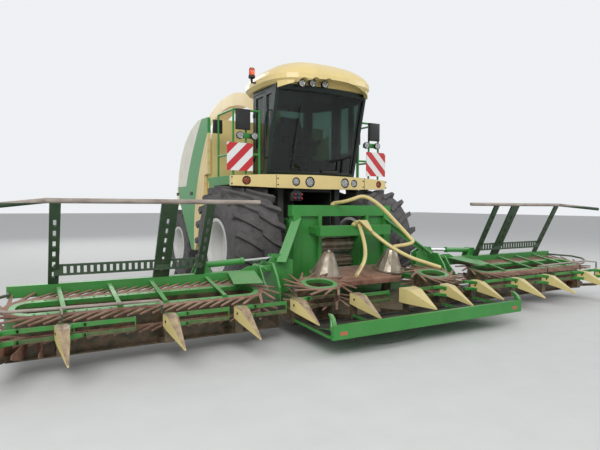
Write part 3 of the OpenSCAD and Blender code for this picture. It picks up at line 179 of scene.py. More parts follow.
for name, place, aim, size, watts in (("key_light", (-9, -13, 11), (0, 0, 1), 9, 1500),
                                      ("fill_light", (12, -7, 8), (0, 0, 1), 9, 500),
                                      ("rear_light", (-2, 13, 9), (0, 0, 1.5), 8, 500)):
    panel = bpy.data.lights.new(name, "AREA")
    panel.shape, panel.size, panel.energy = "DISK", size, watts
    lamp = bpy.data.objects.new(name, panel)
    lamp.location = place
    lamp.rotation_euler = (Vector(aim) - Vector(place)).to_track_quat("-Z", "Y").to_euler()
    bpy.context.scene.collection.objects.link(lamp)

sky = bpy.data.worlds.new("sky")
sky.use_nodes = True
bpy.context.scene.world = sky
sky_nodes = sky.node_tree.nodes
lit = sky_nodes["Background"]
lit.inputs["Color"].default_value = (0.93, 0.96, 1.0, 1)
lit.inputs["Strength"].default_value = 0.62
seen = sky_nodes.new("ShaderNodeBackground")
seen.inputs["Color"].default_value = (0.86, 0.88, 0.90, 1)
rays = sky_nodes.new("ShaderNodeLightPath")
either = [sky_nodes.new("ShaderNodeMath") for _ in range(2)]
for step in either:
    step.operation, step.use_clamp = "ADD", True
mixed = sky_nodes.new("ShaderNodeMixShader")
for source, target in ((rays.outputs["Is Camera Ray"], either[0].inputs[0]),
                       (rays.outputs["Is Glossy Ray"], either[0].inputs[1]),
                       (either[0].outputs[0], either[1].inputs[0]),
                       (rays.outputs["Is Transmission Ray"], either[1].inputs[1]),
                       (either[1].outputs[0], mixed.inputs[0]), (lit.outputs[0], mixed.inputs[1]),
                       (seen.outputs[0], mixed.inputs[2]),
                       (mixed.outputs[0], sky_nodes["World Output"].inputs["Surface"])):
    sky.node_tree.links.new(source, target)


# ----------
# Frame, axles and steering knuckles: welded steel plate and castings in dark grey machine paint,
# dusty from the field.
front_axle = -1.03793   # where the front axle lies along the machine
dust_tone, mud_top = tone(150, 138, 118), 2.2   # mud thins out up to this height
rust_chips = tone(88, 66, 50)


def painted(name, colour, gloss, dust, chips=0.5, chip_tone=tone(70, 62, 55), patches=None):
    """Machine paint: uneven colour, chipped corners, dust on what faces up and mud towards the ground."""
    f = Finish(name, Specular_IOR_Level=0.45)
    shade = f.noise(1.7, 3.0)
    darker = tuple(c * 0.86 for c in colour[:3]) + (1.0,)
    body = f.mix(shade.held(0.3, 0.7), darker, colour)
    if patches:
        body = patches(f, body)
    grit = f.noise(23.0, 6.0, 0.7)
    chipped = (f.edges(0.006) * grit.held(0.48, 0.60)) * chips
    body = f.mix(chipped, body, chip_tone)
    low = (1.0 - f.z / mud_top).held()
    lying = f.facing.held(0.35, 1.0)
    clouds = f.noise(5.0, 5.0, 0.65, distortion=0.6).held(0.32, 0.72)
    film = ((lying * 0.55 + low * 0.45 + 0.06) * clouds).held() * dust
    body = f.mix(film, body, dust_tone)
    rough = film * 0.5 + gloss + chipped * 0.3 + (f.noise(60.0, 2.0) - 0.5) * 0.06
    return f.give(body, rough, height=f.noise(40.0, 3.0) - chipped * 1.5, depth=0.0006, soft_edge=0.004)


frame_paint = painted("frame_paint", tone(58, 60, 60), 0.45, 0.5)
wear(frame_paint, "main_frame", "front_axle", "rear_axle", "lift_barrels", "knuckle_left", "knuckle_right")

# ----------
# Engine block: rough grey iron casting with oil stains, bolted between the frame's rails and seen
# only from below and behind.
iron = Finish("engine_iron", Metallic=0.4)
sand = iron.noise(90.0, 5.0, 0.7)
oil = iron.noise(3.0, 5.0).held(0.5, 0.62)
engine_iron = iron.give(iron.mix(oil, tone(92, 92, 90), tone(34, 31, 28)), sand * 0.3 + 0.5 - oil * 0.25,
                        height=sand, depth=0.003, soft_edge=0.008)
wear(engine_iron, "engine_block")

# ----------
# Header frame, feeder, platforms and transport guard: welded plate in mid green paint, faded on top
# and worn down to rusty steel where the crop slides over it. The chopper housing's paint is dark.
green_tone = tone(52, 140, 58)


def rubbed(f, body):
    """Streaks where the crop has worn the paint down to rusty and to bare steel, low and facing up."""
    streaks = f.noise(9.0, 6.0, 0.7, stretch=(0.35, 1.0, 1.0))
    bare = streaks.held(0.60, 0.70) * f.facing.held(0.2, 0.9) * (1.0 - f.z / 0.9).held(0.0, 0.35)
    faded = f.mix(f.facing.held(0.2, 1.0) * 0.45, body, tone(140, 196, 140))
    return f.mix(bare, faded, tone(128, 96, 74))


def header_shade_and_grime(f, body):
    """Header: painted shade, mixed by noise with rust, darkens the plates low down in front and the guides'
    walls inside the chain loops; a patchy brown film lies low down, and the paint is rusty where the crop
    runs.
    """
    # Painted shade low down in front and inside the chain loops: a dark brown, mixed by noise with rust
    under = (0.46 - f.z).held(0.0, 0.10) * (front_axle - 1.30 - f.y).held(0.0, 0.12)
    shade_and_rust_tone = f.mix(f.noise(11.0, 6.0, 0.7).held(0.42, 0.62), tone(44, 36, 31), tone(104, 74, 58))
    film = f.noise(4.5, 6.0, 0.75, distortion=0.8).held(0.46, 0.66) * (0.80 - f.z).held(0.0, 0.2) * 0.55
    # The guides' walls under the chains, which get painted shade: below the tilted deck, and within the loops'
    # lengths
    deck_height, deck_slope, deck_mid = 0.570, 0.194, front_axle - 1.989
    below = (deck_height - f.z + deck_slope * (f.y - deck_mid)).held(0.0, 0.015)
    out = abs(f.x)
    loops = (out.between(0.70, 1.27) + out.between(1.80, 4.32)).held()
    wall_shade = below * loops * f.y.between(front_axle - 2.33, front_axle - 1.60)
    shade_and_rust_mask = f.maths("MAXIMUM", under, wall_shade)
    return f.mix(film, f.mix(shade_and_rust_mask * 0.94, rubbed(f, body), shade_and_rust_tone), tone(88, 70, 52))


green_paint = painted("green_paint", green_tone, 0.34, 0.30, 0.8, rust_chips, rubbed)
wear(green_paint, "platforms", "feeder_housing", "fold_barrel_left", "fold_barrel_right")
# The header's paint carries painted shade low down in front and inside the chain loops.
header_paint = painted("header_paint", green_tone, 0.36, 0.34, 0.9, rust_chips, header_shade_and_grime)
wear(header_paint, "header_frame", "wing_frame_left", "wing_frame_right")
dark_paint = painted("dark_paint", tone(34, 40, 37), 0.5, 0.3, 0.3)
wear(dark_paint, "crop_tunnel")


def guard_shade_and_reflectors(f, body):
    """Transport guard: black painted shade, scuffed, on the faces that look up behind the green beam, and a
    dull reflector at each end.
    """
    scuffs = f.noise(7.0, 6.0, 0.7).held(0.4, 0.75)
    sheet_shade = f.mix(scuffs * 0.5, tone(26, 27, 29), tone(74, 72, 68))
    # Painted shade: the guard's upper faces behind the beam are painted black.
    body = f.mix(((f.y > front_axle - 3.024) * (f.facing > 0.5)).held(), body, sheet_shade)
    out = abs(f.x)
    reflector = out.between(1.322, 1.412) * f.z.between(0.243, 0.282) * (f.y < front_axle - 3.07)
    return f.mix(reflector, body, f.mix(scuffs, tone(196, 96, 60), tone(150, 100, 84)))


# The transport guard's paint carries black painted shade behind the beam.
guard_shade_paint = painted("guard_shade_paint", green_tone, 0.34, 0.2, 0.8, rust_chips, guard_shade_and_reflectors)
wear(guard_shade_paint, "transport_guard")

# ----------
# Cab shell, doors and stalk guards: pressed sheet steel and welded tube in dark green satin paint,
# with the guards' top tubes rubbed bare.
dark_green_paint = painted("dark_green_paint", tone(20, 38, 30), 0.26, 0.15, 0.3)
wear(dark_green_paint, "cab_shell", "door_left", "door_right")


def tube_metal(f, body):
    """Stalk guard: the tube on top and the one along the chain are bare, greyed metal."""
    high = (f.z > 1.595) * 1.0
    front = (f.y < -3.235) * f.z.between(0.61, 0.68)
    streaks = f.noise(18.0, 5.0, 0.7, stretch=(0.2, 1.0, 1.0))
    metal = f.mix(streaks.held(0.35, 0.7), tone(168, 158, 148), tone(120, 104, 96))
    return f.mix((high + front).held(), body, metal)


guard_paint = painted("guard_paint", tone(34, 66, 40), 0.45, 0.4, 0.9, tone(120, 112, 100), tube_metal)
wear(guard_paint, "wing_guard_left", "wing_guard_right")

# ----------
# Windows: laminated safety glass tinted dark green, glued into the cab and the doors, with a patchy
# film of dust.
pane = Finish("window_glass", IOR=1.45, Transmission_Weight=1.0)
film = pane.noise(4.0, 5.0).held(0.45, 0.8) * 0.06
pane_tint = pane.mix(film, tone(116, 142, 134), tone(150, 150, 138))
window_glass = pane.give(pane_tint, film * 1.5 + 0.02)
wear(window_glass, "cab_glass", "door_left_glass", "door_right_glass")

# ----------
# Roof, bumper, hood, panels, chute and crop points: cream gloss paint over moulded plastic and folded
# sheet steel, striped on the side panels and rubbed off the points.
cream_tone = tone(232, 208, 142)
cream_paint = painted("cream_paint", cream_tone, 0.26, 0.22, 0.35, tone(120, 100, 70))
wear(cream_paint, "cab_roof", "front_bumper", "chute_turret", "chute_arm", "chute_flap", "rear_hood")


def striped(f, body):
    """Side panel: a curved green stripe down to the lower corner, painted shade in bands for the ridges before
    it, bleached behind it.
    """
    # Both edges of the stripe are parabolas in z: a place along the machine, a lean and a bow
    up = f.z - 3.0
    bow = up * (f.z - 2.42)
    before = f.y - front_axle - 0.659 + up * 0.779 + bow * 0.233
    behind = f.y - front_axle - 1.213 + up * 0.876 + bow * 0.258
    stripe = (before > 0.0) * ((behind < 0.0) * 1.0 + (f.z < 1.93) * 1.0).held()
    bleached = (behind > 0.0) * 1.0
    # Painted shade: darker cream bands stand for the ridges' shading, with no relief.
    ridge_shade = f.maths("SINE", before * 48.0).held(0.35, 0.95) * (before < 0.0)
    body = f.mix(ridge_shade * 0.35, body, tone(196, 160, 104))
    scuffs = f.noise(6.0, 6.0, 0.7).held(0.45, 0.75)
    pale = f.mix(scuffs * 0.4, tone(222, 218, 200), tone(176, 172, 158))
    return f.mix(stripe, f.mix(bleached, body, pale), tone(52, 140, 66))


panel_paint = painted("panel_paint", cream_tone, 0.28, 0.22, 0.3, patches=striped)
wear(panel_paint, "side_panels")


def polished_tip(f, body):
    """Crop point: the paint is rubbed off its back and its nose by the stalks."""
    back = f.facing.held(0.5, 0.8) * ((f.x < -0.5) * 0.75 + 0.2)
    streaks = f.noise(16.0, 5.0, 0.6, stretch=(1.0, 0.25, 1.0)).held(0.25, 0.65)
    return f.mix(back * (streaks * 0.5 + 0.5), body, f.mix(streaks, tone(160, 136, 124), tone(116, 88, 78)))


point_paint = painted("point_paint", tone(226, 208, 140), 0.34, 0.25, 0.9, tone(110, 84, 64), polished_tip)
wear(point_paint, "header_points", "wing_points_left", "wing_points_right", "crop_pusher")

# ----------
# Seat cover: black woven cloth sewn over the foam of cushion and backrest, whose pads are modelled
# further down.
cloth = Finish("seat_fabric", Roughness=0.9, Sheen_Weight=0.3)
weave = cloth.node("TexWave", {"wave_type": "BANDS", "bands_direction": "DIAGONAL"},
                   {"Vector": cloth.place, "Scale": 90.0, "Distortion": 1.5}, "Fac")
seat_fabric = cloth.give(cloth.mix(weave, tone(26, 26, 28), tone(48, 48, 52)), height=weave, depth=0.002,
                         soft_edge=0.02)

# ----------
# Console, grille and small moulded parts: grained black plastic, screwed on, that has gone grey with
# dust in patches.
plastic = Finish("black_plastic", Specular_IOR_Level=0.4)
grain = plastic.noise(320.0, 3.0)
haze = plastic.noise(4.0, 4.0).held(0.4, 0.8) * 0.35
black_plastic = plastic.give(plastic.mix(haze, tone(24, 24, 25), tone(74, 72, 68)), haze * 0.4 + 0.42,
                             height=grain, depth=0.001, soft_edge=0.006)
wear(black_plastic, "control_console", "radiator_grille")

# ----------
# Warning boards: square steel plates with a glued foil of red and white reflecting stripes that slope
# up to the middle.
foil = Finish("warning_foil", Roughness=0.35, Coat_Weight=0.3)
stripe_pitch = 0.282
slope = (abs(foil.x) + foil.z - 0.065) / stripe_pitch
beads = foil.node("TexVoronoi", {}, {"Vector": foil.place, "Scale": 260.0}, "Distance")
red = foil.maths("FRACT", slope) > 0.5
warning_foil = foil.give(foil.mix(red, tone(226, 226, 224), tone(190, 24, 34)), height=beads, depth=0.0008)
wear(warning_foil, "warning_boards")

# ----------
# Tyres: black farm rubber, moulded with lugs and mounted on the rims, patchily grey with dried dust
# and pitted all over.
rubber = Finish("tyre_rubber", Specular_IOR_Level=0.25)
dirt = rubber.noise(7.0, 6.0, 0.7).held(0.3, 0.75)
pores = rubber.noise(120.0, 4.0)
dusted = rubber.mix(dirt * 0.7 + 0.2, tone(50, 50, 53), tone(112, 108, 106))
tyre_rubber = rubber.give(dusted, dirt * 0.2 + 0.68, height=pores + dirt * 0.5, depth=0.0025, soft_edge=0.008)
wear(tyre_rubber, "front_tyre_left", "front_tyre_right", "rear_tyre_left", "rear_tyre_right")

# ----------
# Rims: pressed and welded steel discs in silver-white paint, chipped to rust at the flange and dusty
# low down.
rim_paint = painted("rim_paint", tone(212, 212, 208), 0.38, 0.35, 0.7, tone(96, 70, 52))
wear(rim_paint, "front_rim_left", "front_rim_right", "rear_rim_left", "rear_rim_right")

# ----------
# Gathering chains: cast fingers and chain plates, riveted into loops, brown with rust and rubbed
# bright on their tips.
cast = Finish("rusty_iron", Metallic=0.25)
scale = cast.noise(34.0, 8.0, 0.75)
patch = cast.noise(6.0, 5.0).held(0.35, 0.7)
rust = cast.mix(patch, tone(118, 80, 62), tone(158, 118, 96))
rust = cast.mix(scale.held(0.52, 0.72), rust, tone(78, 58, 50))
flat = cast.facing.held(0.7, 0.98) * cast.noise(3.0, 3.0).held(0.35, 0.6)
rust = cast.mix(flat * 0.45, rust, tone(172, 148, 132))
rubbed_bare = cast.edges(0.010) * scale.held(0.40, 0.60)
rust = cast.mix(rubbed_bare * 0.7, rust, tone(186, 170, 156))
rusty_iron = cast.give(rust, 0.78 - rubbed_bare * 0.3, height=scale, depth=0.003, soft_edge=0.004)
wear(rusty_iron, "header_collector", "wing_collector_left", "wing_collector_right")

# ----------
# Cones, feed rolls and piston rods: welded steel that the crop keeps bare, streaked with stain, and
# ground, chromed rods.
steel = Finish("bare_steel")
streak = steel.noise(12.0, 5.0, 0.65, stretch=(1.0, 1.0, 0.15))
stain = steel.noise(5.0, 5.0).held(0.42, 0.7)
worn = steel.mix(streak.held(0.3, 0.7), tone(122, 114, 102), tone(186, 178, 160))
worn = steel.mix(stain * 0.7, worn, tone(120, 84, 60))
bare_steel = steel.give(worn, stain * 0.35 + 0.36, 0.75 - stain * 0.6, streak, 0.001, 0.003)
wear(bare_steel, "cone_left", "cone_right", "feed_roll_upper", "feed_roll_lower")
chrome = Finish("rod_chrome", Metallic=1.0)
film = chrome.noise(16.0, 4.0).held(0.5, 0.8)
rod_chrome = chrome.give(chrome.mix(film * 0.4, tone(206, 208, 210), tone(130, 124, 112)), film * 0.3 + 0.14)
wear(rod_chrome, "lift_rods", "fold_rod_left", "fold_rod_right")

# ----------
# Lamps: black housings with a pressed bowl whose white is painted reflection, a bulb and a ribbed glass,
# on the bumper, under the roof's visor and on the hand rails. The outer pair on the bumper has amber glasses.
def spot(x, y, z):
    """A place given in mm from the middle of the front axle's line on the ground, in the frame's metres."""
    return Vector((x / 1000, y / 1000 + front_axle, z / 1000))


def start(kind, name, at, turn=(0, 0, 0), stretch=(1, 1, 1), **shape):
    """A new primitive at its place and turned by degrees, in edit mode with its whole mesh selected."""
    bpy.ops.object.select_all(action="DESELECT")
    make = getattr(bpy.ops.mesh, "primitive_" + kind + "_add")
    make(location=at, rotation=[math.radians(angle) for angle in turn], **shape)
    piece = bpy.context.object
    piece.name = piece.data.name = name
    piece.scale = stretch
    bpy.ops.object.transform_apply(location=True, rotation=True, scale=True)
    bpy.ops.object.mode_set(mode="EDIT")
    return piece


def box(name, at, size, turn=(0, 0, 0)):
    return start("cube", name, at, turn, size, size=1)


def drum(name, at, radius, depth, vertices, turn=(0, 0, 0)):
    return start("cylinder", name, at, turn, vertices=vertices, radius=radius, depth=depth)


squarely = 0.9   # a face counts as facing along an axis when its normal has more than this of it


def pick(piece, test, kind="FACE"):
    """Selects the faces or points whose middle and normal pass the test, such as "-y": facing that way."""
    if isinstance(test, str):
        sign, axis = (-1 if test[0] == "-" else 1), "xyz".index(test[1])
        test = lambda c, n: n[axis] * sign > squarely
    bpy.ops.mesh.select_mode(type=kind)
    bpy.ops.mesh.select_all(action="DESELECT")
    mesh = bmesh.from_edit_mesh(piece.data)
    if kind == "FACE":
        for face in mesh.faces:
            face.select_set(bool(test(face.calc_center_median(), face.normal)))
    else:
        for point in mesh.verts:
            point.select_set(bool(test(point.co, point.normal)))
    bmesh.update_edit_mesh(piece.data)


def draw_out(along, shrink=None, about=None):
    """Extrudes what is selected, and scales its far end about a place."""
    bpy.ops.mesh.extrude_region_move(TRANSFORM_OT_translate={"value": along})
    if shrink:
        bpy.ops.transform.resize(value=shrink, center_override=about)


def inset(width, move=None):
    """Insets the selected faces by a width, and moves the inner faces."""
    bpy.ops.mesh.inset(thickness=width)
    if move:
        bpy.ops.transform.translate(value=move)


def alone(piece):
    """Selects this piece and nothing else, and makes it the active one."""
    bpy.ops.object.select_all(action="DESELECT")
    piece.select_set(True)
    bpy.context.view_layer.objects.active = piece


def leave_edit(piece):
    """Closes the mesh, points its faces outwards and goes back to object mode with it alone selected."""
    if piece.mode == "EDIT":
        bpy.ops.mesh.select_all(action="SELECT")
        bpy.ops.mesh.remove_doubles(threshold=0.00002)
        bpy.ops.mesh.normals_make_consistent(inside=False)
        bpy.ops.object.mode_set(mode="OBJECT")
    alone(piece)


def repeat(piece, moves):
    """Puts the piece at each of these places, each copy with its own mesh, and joins them into one."""
    leave_edit(piece)
    for move in moves[1:]:
        twin = piece.copy()
        twin.data = piece.data.copy()
        twin.data.transform(move)
        if move.determinant() < 0:
            twin.data.flip_normals()
        bpy.context.scene.collection.objects.link(twin)
        twin.select_set(True)
    piece.data.transform(moves[0])
    if moves[0].determinant() < 0:
        piece.data.flip_normals()
    if len(moves) > 1:
        bpy.ops.object.join()
    return piece


def done(piece, finish, body="chassis", bevel=0.0, angle=35, segments=2):
    """Rounds the edges, and gives the piece its finish and body."""
    leave_edit(piece)
    if bevel:
        rounding = piece.modifiers.new("rounding", "BEVEL")
        rounding.width, rounding.segments, rounding.limit_method = bevel, segments, "ANGLE"
        bpy.ops.object.modifier_apply(modifier=rounding.name)
    bpy.ops.object.shade_smooth_by_angle(angle=math.radians(angle))
    piece.data.materials.clear()
    piece.data.materials.append(finish)
    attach(piece, body)
    return piece


def shift(x, y, z, size=1.0):
    """A move to a place in mm, scaled to a size first."""
    return Matrix.Translation(spot(x, y, z)) @ Matrix.Scale(size, 4)


def spun(degrees, axis="Z"):
    return Matrix.Rotation(math.radians(degrees), 4, axis)


# The bumper's front bows to this radius, about a middle that lies this far forward and this high
bumper_bow, bumper_front, bumper_mid = 12000, -397, 1961


def on_bumper(x, z, out=0, size=1.0):
    """A move to the bumper's bowed front, or out of it, in mm."""
    return shift(x, x * x / (2 * bumper_bow) + bumper_front - out, z, size)


here, other_side = Matrix.Identity(4), Matrix.Diagonal((-1, 1, 1, 1))
both_sides = [here, other_side]
sides = ((1, "left"), (-1, "right"))
facing_front, facing_side = (90, 0, 0), (0, 90, 0)

# Painted reflection: lamp bowls and mirror glasses are near-white and only a little metallic, standing in for
# what they reflect.
bright = Finish("lamp_bowl", Metallic=0.15)
bright_haze = bright.noise(30.0, 3.0)
painted_reflection_tone = bright.mix(bright_haze, tone(250, 250, 250), tone(226, 228, 228))
lamp_bowl = bright.give(painted_reflection_tone, bright_haze * 0.1 + 0.22)


def glassy(name, colour, ribbed=110.0):
    """Moulded lamp glass with upright ribs on its inside and a little dust."""
    f = Finish(name, IOR=1.48, Transmission_Weight=0.82)
    rib = f.node("TexWave", {"wave_type": "BANDS", "bands_direction": "X"},
                 {"Vector": f.place, "Scale": ribbed, "Distortion": 0.0}, "Fac")
    dusty = f.noise(25.0, 4.0).held(0.4, 0.8)
    colour = f.mix(dusty * 0.3, colour, tone(196, 190, 176))
    return f.give(colour, dusty * 0.25 + 0.05, height=rib, depth=0.0015)


clear_glass = glassy("clear_glass", tone(253, 254, 253))
amber_glass = glassy("amber_glass", tone(244, 128, 66))
beacon_glass = glassy("beacon_glass", tone(240, 92, 34), 60.0)

# The front of each lamp's rim, scaled to its radius
bumper_lamps = [on_bumper(x, bumper_mid, size=r) for x, r in
                ((-417, 0.061), (-164, 0.077), (528, 0.074), (725, 0.058))]
side_lamps = [on_bumper(x, bumper_mid, size=r) for x, r in ((-1248, 0.059), (1294, 0.053))]
visor_lamps = [shift(x, -752, z, 0.059) for x, z in ((-526, 3422), (-340, 3442), (-118, 3452))]
rail_lamps = [shift(side * x, -262, 2645, 0.058) for side in (-1, 1) for x in (1082, 1318)]
lamp_places = bumper_lamps + side_lamps + visor_lamps + rail_lamps

housing = drum("lamp_housings", (0, 0.35, 0), 1.0, 0.7, 32, facing_front)
pick(housing, "-y")
inset(0.13)
draw_out((0, 0.45, 0))
pick(housing, lambda c, n: n.y > 0.9 and c.y > 0.6)
inset(0.10)
draw_out((0, 0.12, 0), (0.86, 1, 0.86), (0, 0.7, 0))
draw_out((0, 0.04, 0), (0.4, 1, 0.4), (0, 0.82, 0))
repeat(housing, lamp_places)
done(housing, black_plastic, bevel=0.002)

bowl = drum("lamp_bowls", (0, 0.24, 0), 0.865, 0.40, 32, facing_front)
pick(bowl, "-y")
for step, depth in ((0.03, 0.04), (0.12, 0.12), (0.2, 0.12), (0.2, 0.05)):
    inset(step, (0, depth, 0))
inset(0.12)
draw_out((0, -0.18, 0), (0.8, 1, 0.8), (0, 0.2, 0))
draw_out((0, -0.06, 0), (0.4, 1, 0.4), (0, 0.14, 0))
repeat(bowl, lamp_places)
done(bowl, lamp_bowl, angle=50)


def lamp_glasses(name, places, finish):
    """Shallow domed glasses set in the lamps' rims."""
    glass = start("uv_sphere", name, (0, 0.03, 0), facing_front, (1, 1, 0.2), segments=32, ring_count=12,
                  radius=0.868)
    pick(glass, lambda c, n: c.y > 0.045)
    bpy.ops.transform.resize(value=(1, 0, 1), center_override=(0, 0.05, 0))
    repeat(glass, places)
    return done(glass, finish, angle=60)


lamp_glasses("lamp_glasses", bumper_lamps + visor_lamps + rail_lamps, clear_glass)
lamp_glasses("side_lamp_glasses", side_lamps, amber_glass)

# Rubber rings round the bumper's lamps
ring = start("torus", "lamp_rings", (0, 0, 0), facing_front, major_segments=40, minor_segments=10,
             major_radius=1.05, minor_radius=0.09)
pick(ring, lambda c, n: n.y > 0.3)
bpy.ops.transform.translate(value=(0, 0.08, 0))
repeat(ring, bumper_lamps + side_lamps)
done(ring, black_plastic, angle=60)

# Folded plates that hold the rail lamps
plate = box("lamp_plates", spot(1200, -193, 2645), (0.31, 0.006, 0.05))
pick(plate, "+z")
draw_out((0, 0, 0.02), (0.86, 1, 1), spot(1200, -193, 2690))
pick(plate, "-z")
draw_out((0, 0.004, -0.006))
draw_out((0, 0.012, -0.004))
repeat(plate, both_sides)
done(plate, green_paint, bevel=0.0015)

# Beacon: an orange light under a ribbed cap on a black foot, on an arm from the cab's roof
beacon_x = -1015
foot = drum("beacon_foot", spot(beacon_x, 0, 3608), 0.054, 0.036, 32)
pick(foot, "+z")
draw_out((0, 0, 0.010), (0.9, 0.9, 1), spot(beacon_x, 0, 3626))
pick(foot, "-z")
inset(0.012)
draw_out((0, 0, -0.018), (0.5, 0.5, 1), spot(beacon_x, 0, 3590))
draw_out((0, 0, -0.050), (0.8, 0.8, 1), spot(beacon_x, 0, 3540))
done(foot, black_plastic, bevel=0.002)
cap = drum("beacon_cap", spot(beacon_x, 0, 3674), 0.050, 0.078, 36)
pick(cap, "+z")
for rise, narrow, top in ((0.020, 0.94, 3713), (0.014, 0.8, 3733), (0.006, 0.5, 3747)):
    draw_out((0, 0, rise), (narrow, narrow, 1), spot(beacon_x, 0, top))
done(cap, beacon_glass, angle=30)
arm = box("beacon_arm", spot(-992, 0, 3520), (0.07, 0.03, 0.022))
pick(arm, "+x")
draw_out((0.007, 0, 0.004), (1, 1.4, 1.2), spot(-955, 0, 3520))
done(arm, black_plastic, bevel=0.003)
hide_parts("lamps")

# ----------
# Mirrors: black moulded shells with a glass let into the back whose white is painted reflection, and two
# clamps each that hold them to the hand rails.
shell = box("mirror_shells", (0, 0, 0), (0.225, 0.056, 0.31))
pick(shell, "-y")
inset(0.022, (0, -0.006, 0))
inset(0.035, (0, -0.003, 0))
pick(shell, "+y")
inset(0.010)
draw_out((0, -0.008, 0))
mirror_places = [shift(side * x, y, z, size) for x, y, z, size in
                 ((1262, -219, 2890, 1.0), (1404, 480, 2860, 0.7)) for side in (-1, 1)]
repeat(shell, mirror_places)
done(shell, black_plastic, bevel=0.010, segments=3)
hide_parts("mirrors")
glass = box("mirror_glasses", (0, 0.021, 0), (0.203, 0.004, 0.288))
pick(glass, "+y")
inset(0.004, (0, 0.0015, 0))
repeat(glass, mirror_places)
done(glass, lamp_bowl, bevel=0.001)
clamp = box("mirror_clamps", (0, 0.035, 0.09), (0.05, 0.03, 0.035))
pick(clamp, "+y")
draw_out((0, 0.012, 0), (0.8, 1, 0.8), (0, 0.05, 0.09))
repeat(clamp, [place @ Matrix.Translation((0, 0, drop)) for place in mirror_places for drop in (0, -0.18)])
done(clamp, black_plastic, bevel=0.004)

# ----------
# Driver's seat: two sewn foam pads on a bellows pedestal, with armrests on steel arms.
# The pads are blown up a little by simulation, so that they crown between their edges.
swell_most, swell_frames = 0.014, 20


def swell(piece):
    """Remeshes a pad, lets it swell under pressure, and holds each point to the most that it may move."""
    leave_edit(piece)
    piece.data.remesh_voxel_size = 0.006
    bpy.ops.object.voxel_remesh()
    rest = [v.co.copy() for v in piece.data.vertices]
    swelling = piece.modifiers.new("swelling", "CLOTH")
    swelling.settings.use_pressure = True
    swelling.settings.uniform_pressure_force = 4
    swelling.settings.effector_weights.gravity = 0
    for frame_number in range(1, swell_frames + 1):
        bpy.context.scene.frame_set(frame_number)
    bpy.ops.object.modifier_apply(modifier=swelling.name)
    for v, was in zip(piece.data.vertices, rest):
        moved = v.co - was
        if moved.length > swell_most:
            v.co = was + moved.normalized() * swell_most
    bpy.context.scene.frame_set(1)
    relax = piece.modifiers.new("relax", "SMOOTH")
    relax.iterations = 4
    bpy.ops.object.modifier_apply(modifier=relax.name)
    finer = piece.modifiers.new("finer", "SUBSURF")
    finer.levels = finer.render_levels = 1
    bpy.ops.object.modifier_apply(modifier=finer.name)


pad = box("seat_cushion", spot(0, 268, 2500), (0.46, 0.48, 0.095))
bpy.ops.mesh.subdivide(number_cuts=5)
pick(pad, lambda c, n: c.z > 2.52 and abs(c.x) > 0.15)
bpy.ops.transform.translate(value=(0, 0, 0.016))
swell(pad)
done(pad, seat_fabric, angle=180)
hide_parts("driver_seat")
back = box("seat_back", spot(0, 545, 2860), (0.44, 0.085, 0.58), (-10, 0, 0))
bpy.ops.mesh.subdivide(number_cuts=5)
pick(back, lambda c, n: n.y < -0.7 and abs(c.x) > 0.15)
bpy.ops.transform.translate(value=(0, -0.022, 0))
pick(back, lambda c, n: c.z > 3.05)
bpy.ops.transform.resize(value=(0.86, 1, 1), center_override=spot(0, 590, 3100))
swell(back)
done(back, seat_fabric, angle=180)

base = drum("seat_pedestal", spot(0, 270, 2118), 0.13, 0.036, 24)
pedestal_mid, folds, fold = spot(0, 270, 0), 6, 1.16
for _ in range(folds):
    pick(base, "+z")
    draw_out((0, 0, 0.022), (fold, fold, 1), pedestal_mid)
    draw_out((0, 0, 0.022), (1 / fold, 1 / fold, 1), pedestal_mid)
pick(base, "+z")
draw_out((0, 0, 0.02), (1.4, 1.5, 1), pedestal_mid)
draw_out((0, 0, 0.012))
done(base, black_plastic, bevel=0.002)
rest = box("seat_armrests", spot(295, 225, 2690), (0.06, 0.34, 0.035))
pick(rest, "+z")
inset(0.012, (0, 0, 0.012))
pick(rest, "-z")
inset(0.018)
draw_out((-0.015, 0.12, -0.18), (0.6, 0.2, 1), spot(280, 345, 2490))
repeat(rest, both_sides)
done(rest, black_plastic, bevel=0.006)

# ----------
# Windscreen wiper, latch and gasket, and the grab handles by the doors: black painted steel, with a
# rubber blade and gasket, screwed or pressed on to the cab.
def pipe(name, points, radius, sides=10, width=None):
    """A round bar along these places, or a flat band of this width standing on edge."""
    run = bpy.data.curves.new(name, "CURVE")
    run.dimensions, run.fill_mode, run.twist_mode = "3D", "FULL", "Z_UP"
    run.bevel_depth, run.bevel_resolution, run.use_fill_caps = radius, max(1, sides // 4), True
    if width:
        run.extrude = width / 2 - radius
    line = run.splines.new("POLY")
    line.points.add(len(points) - 1)
    for point, place in zip(line.points, points):
        point.co = (*place, 1)
    piece = bpy.data.objects.new(name, run)
    bpy.context.scene.collection.objects.link(piece)
    alone(piece)
    bpy.ops.object.convert(target="MESH")
    return piece


def eased(points, steps=6):
    """The same route with its corners rounded by a smooth curve through the middles of its runs."""
    route = [points[0]]
    for before, corner, after in zip(points, points[1:], points[2:]):
        a, b = (before + corner) / 2, (corner + after) / 2
        for i in range(steps + 1):
            t = i / steps
            route.append(a * (1 - t) ** 2 + corner * 2 * t * (1 - t) + b * t * t)
    return route + [points[-1]]


# The windscreen leans forward from its foot, and bows out between its pillars; all in mm
screen_lean, screen_bow, screen_half = math.tan(math.radians(14)), 3340, 850
screen_foot, screen_front = 2100, -200


def on_screen(x, z, off=0.0):
    """A place on the windscreen's outer face, moved forward by off."""
    bow = (screen_half ** 2 - x ** 2) / (2 * screen_bow)
    return spot(x, screen_front - (z - screen_foot) * screen_lean - bow - off, z)


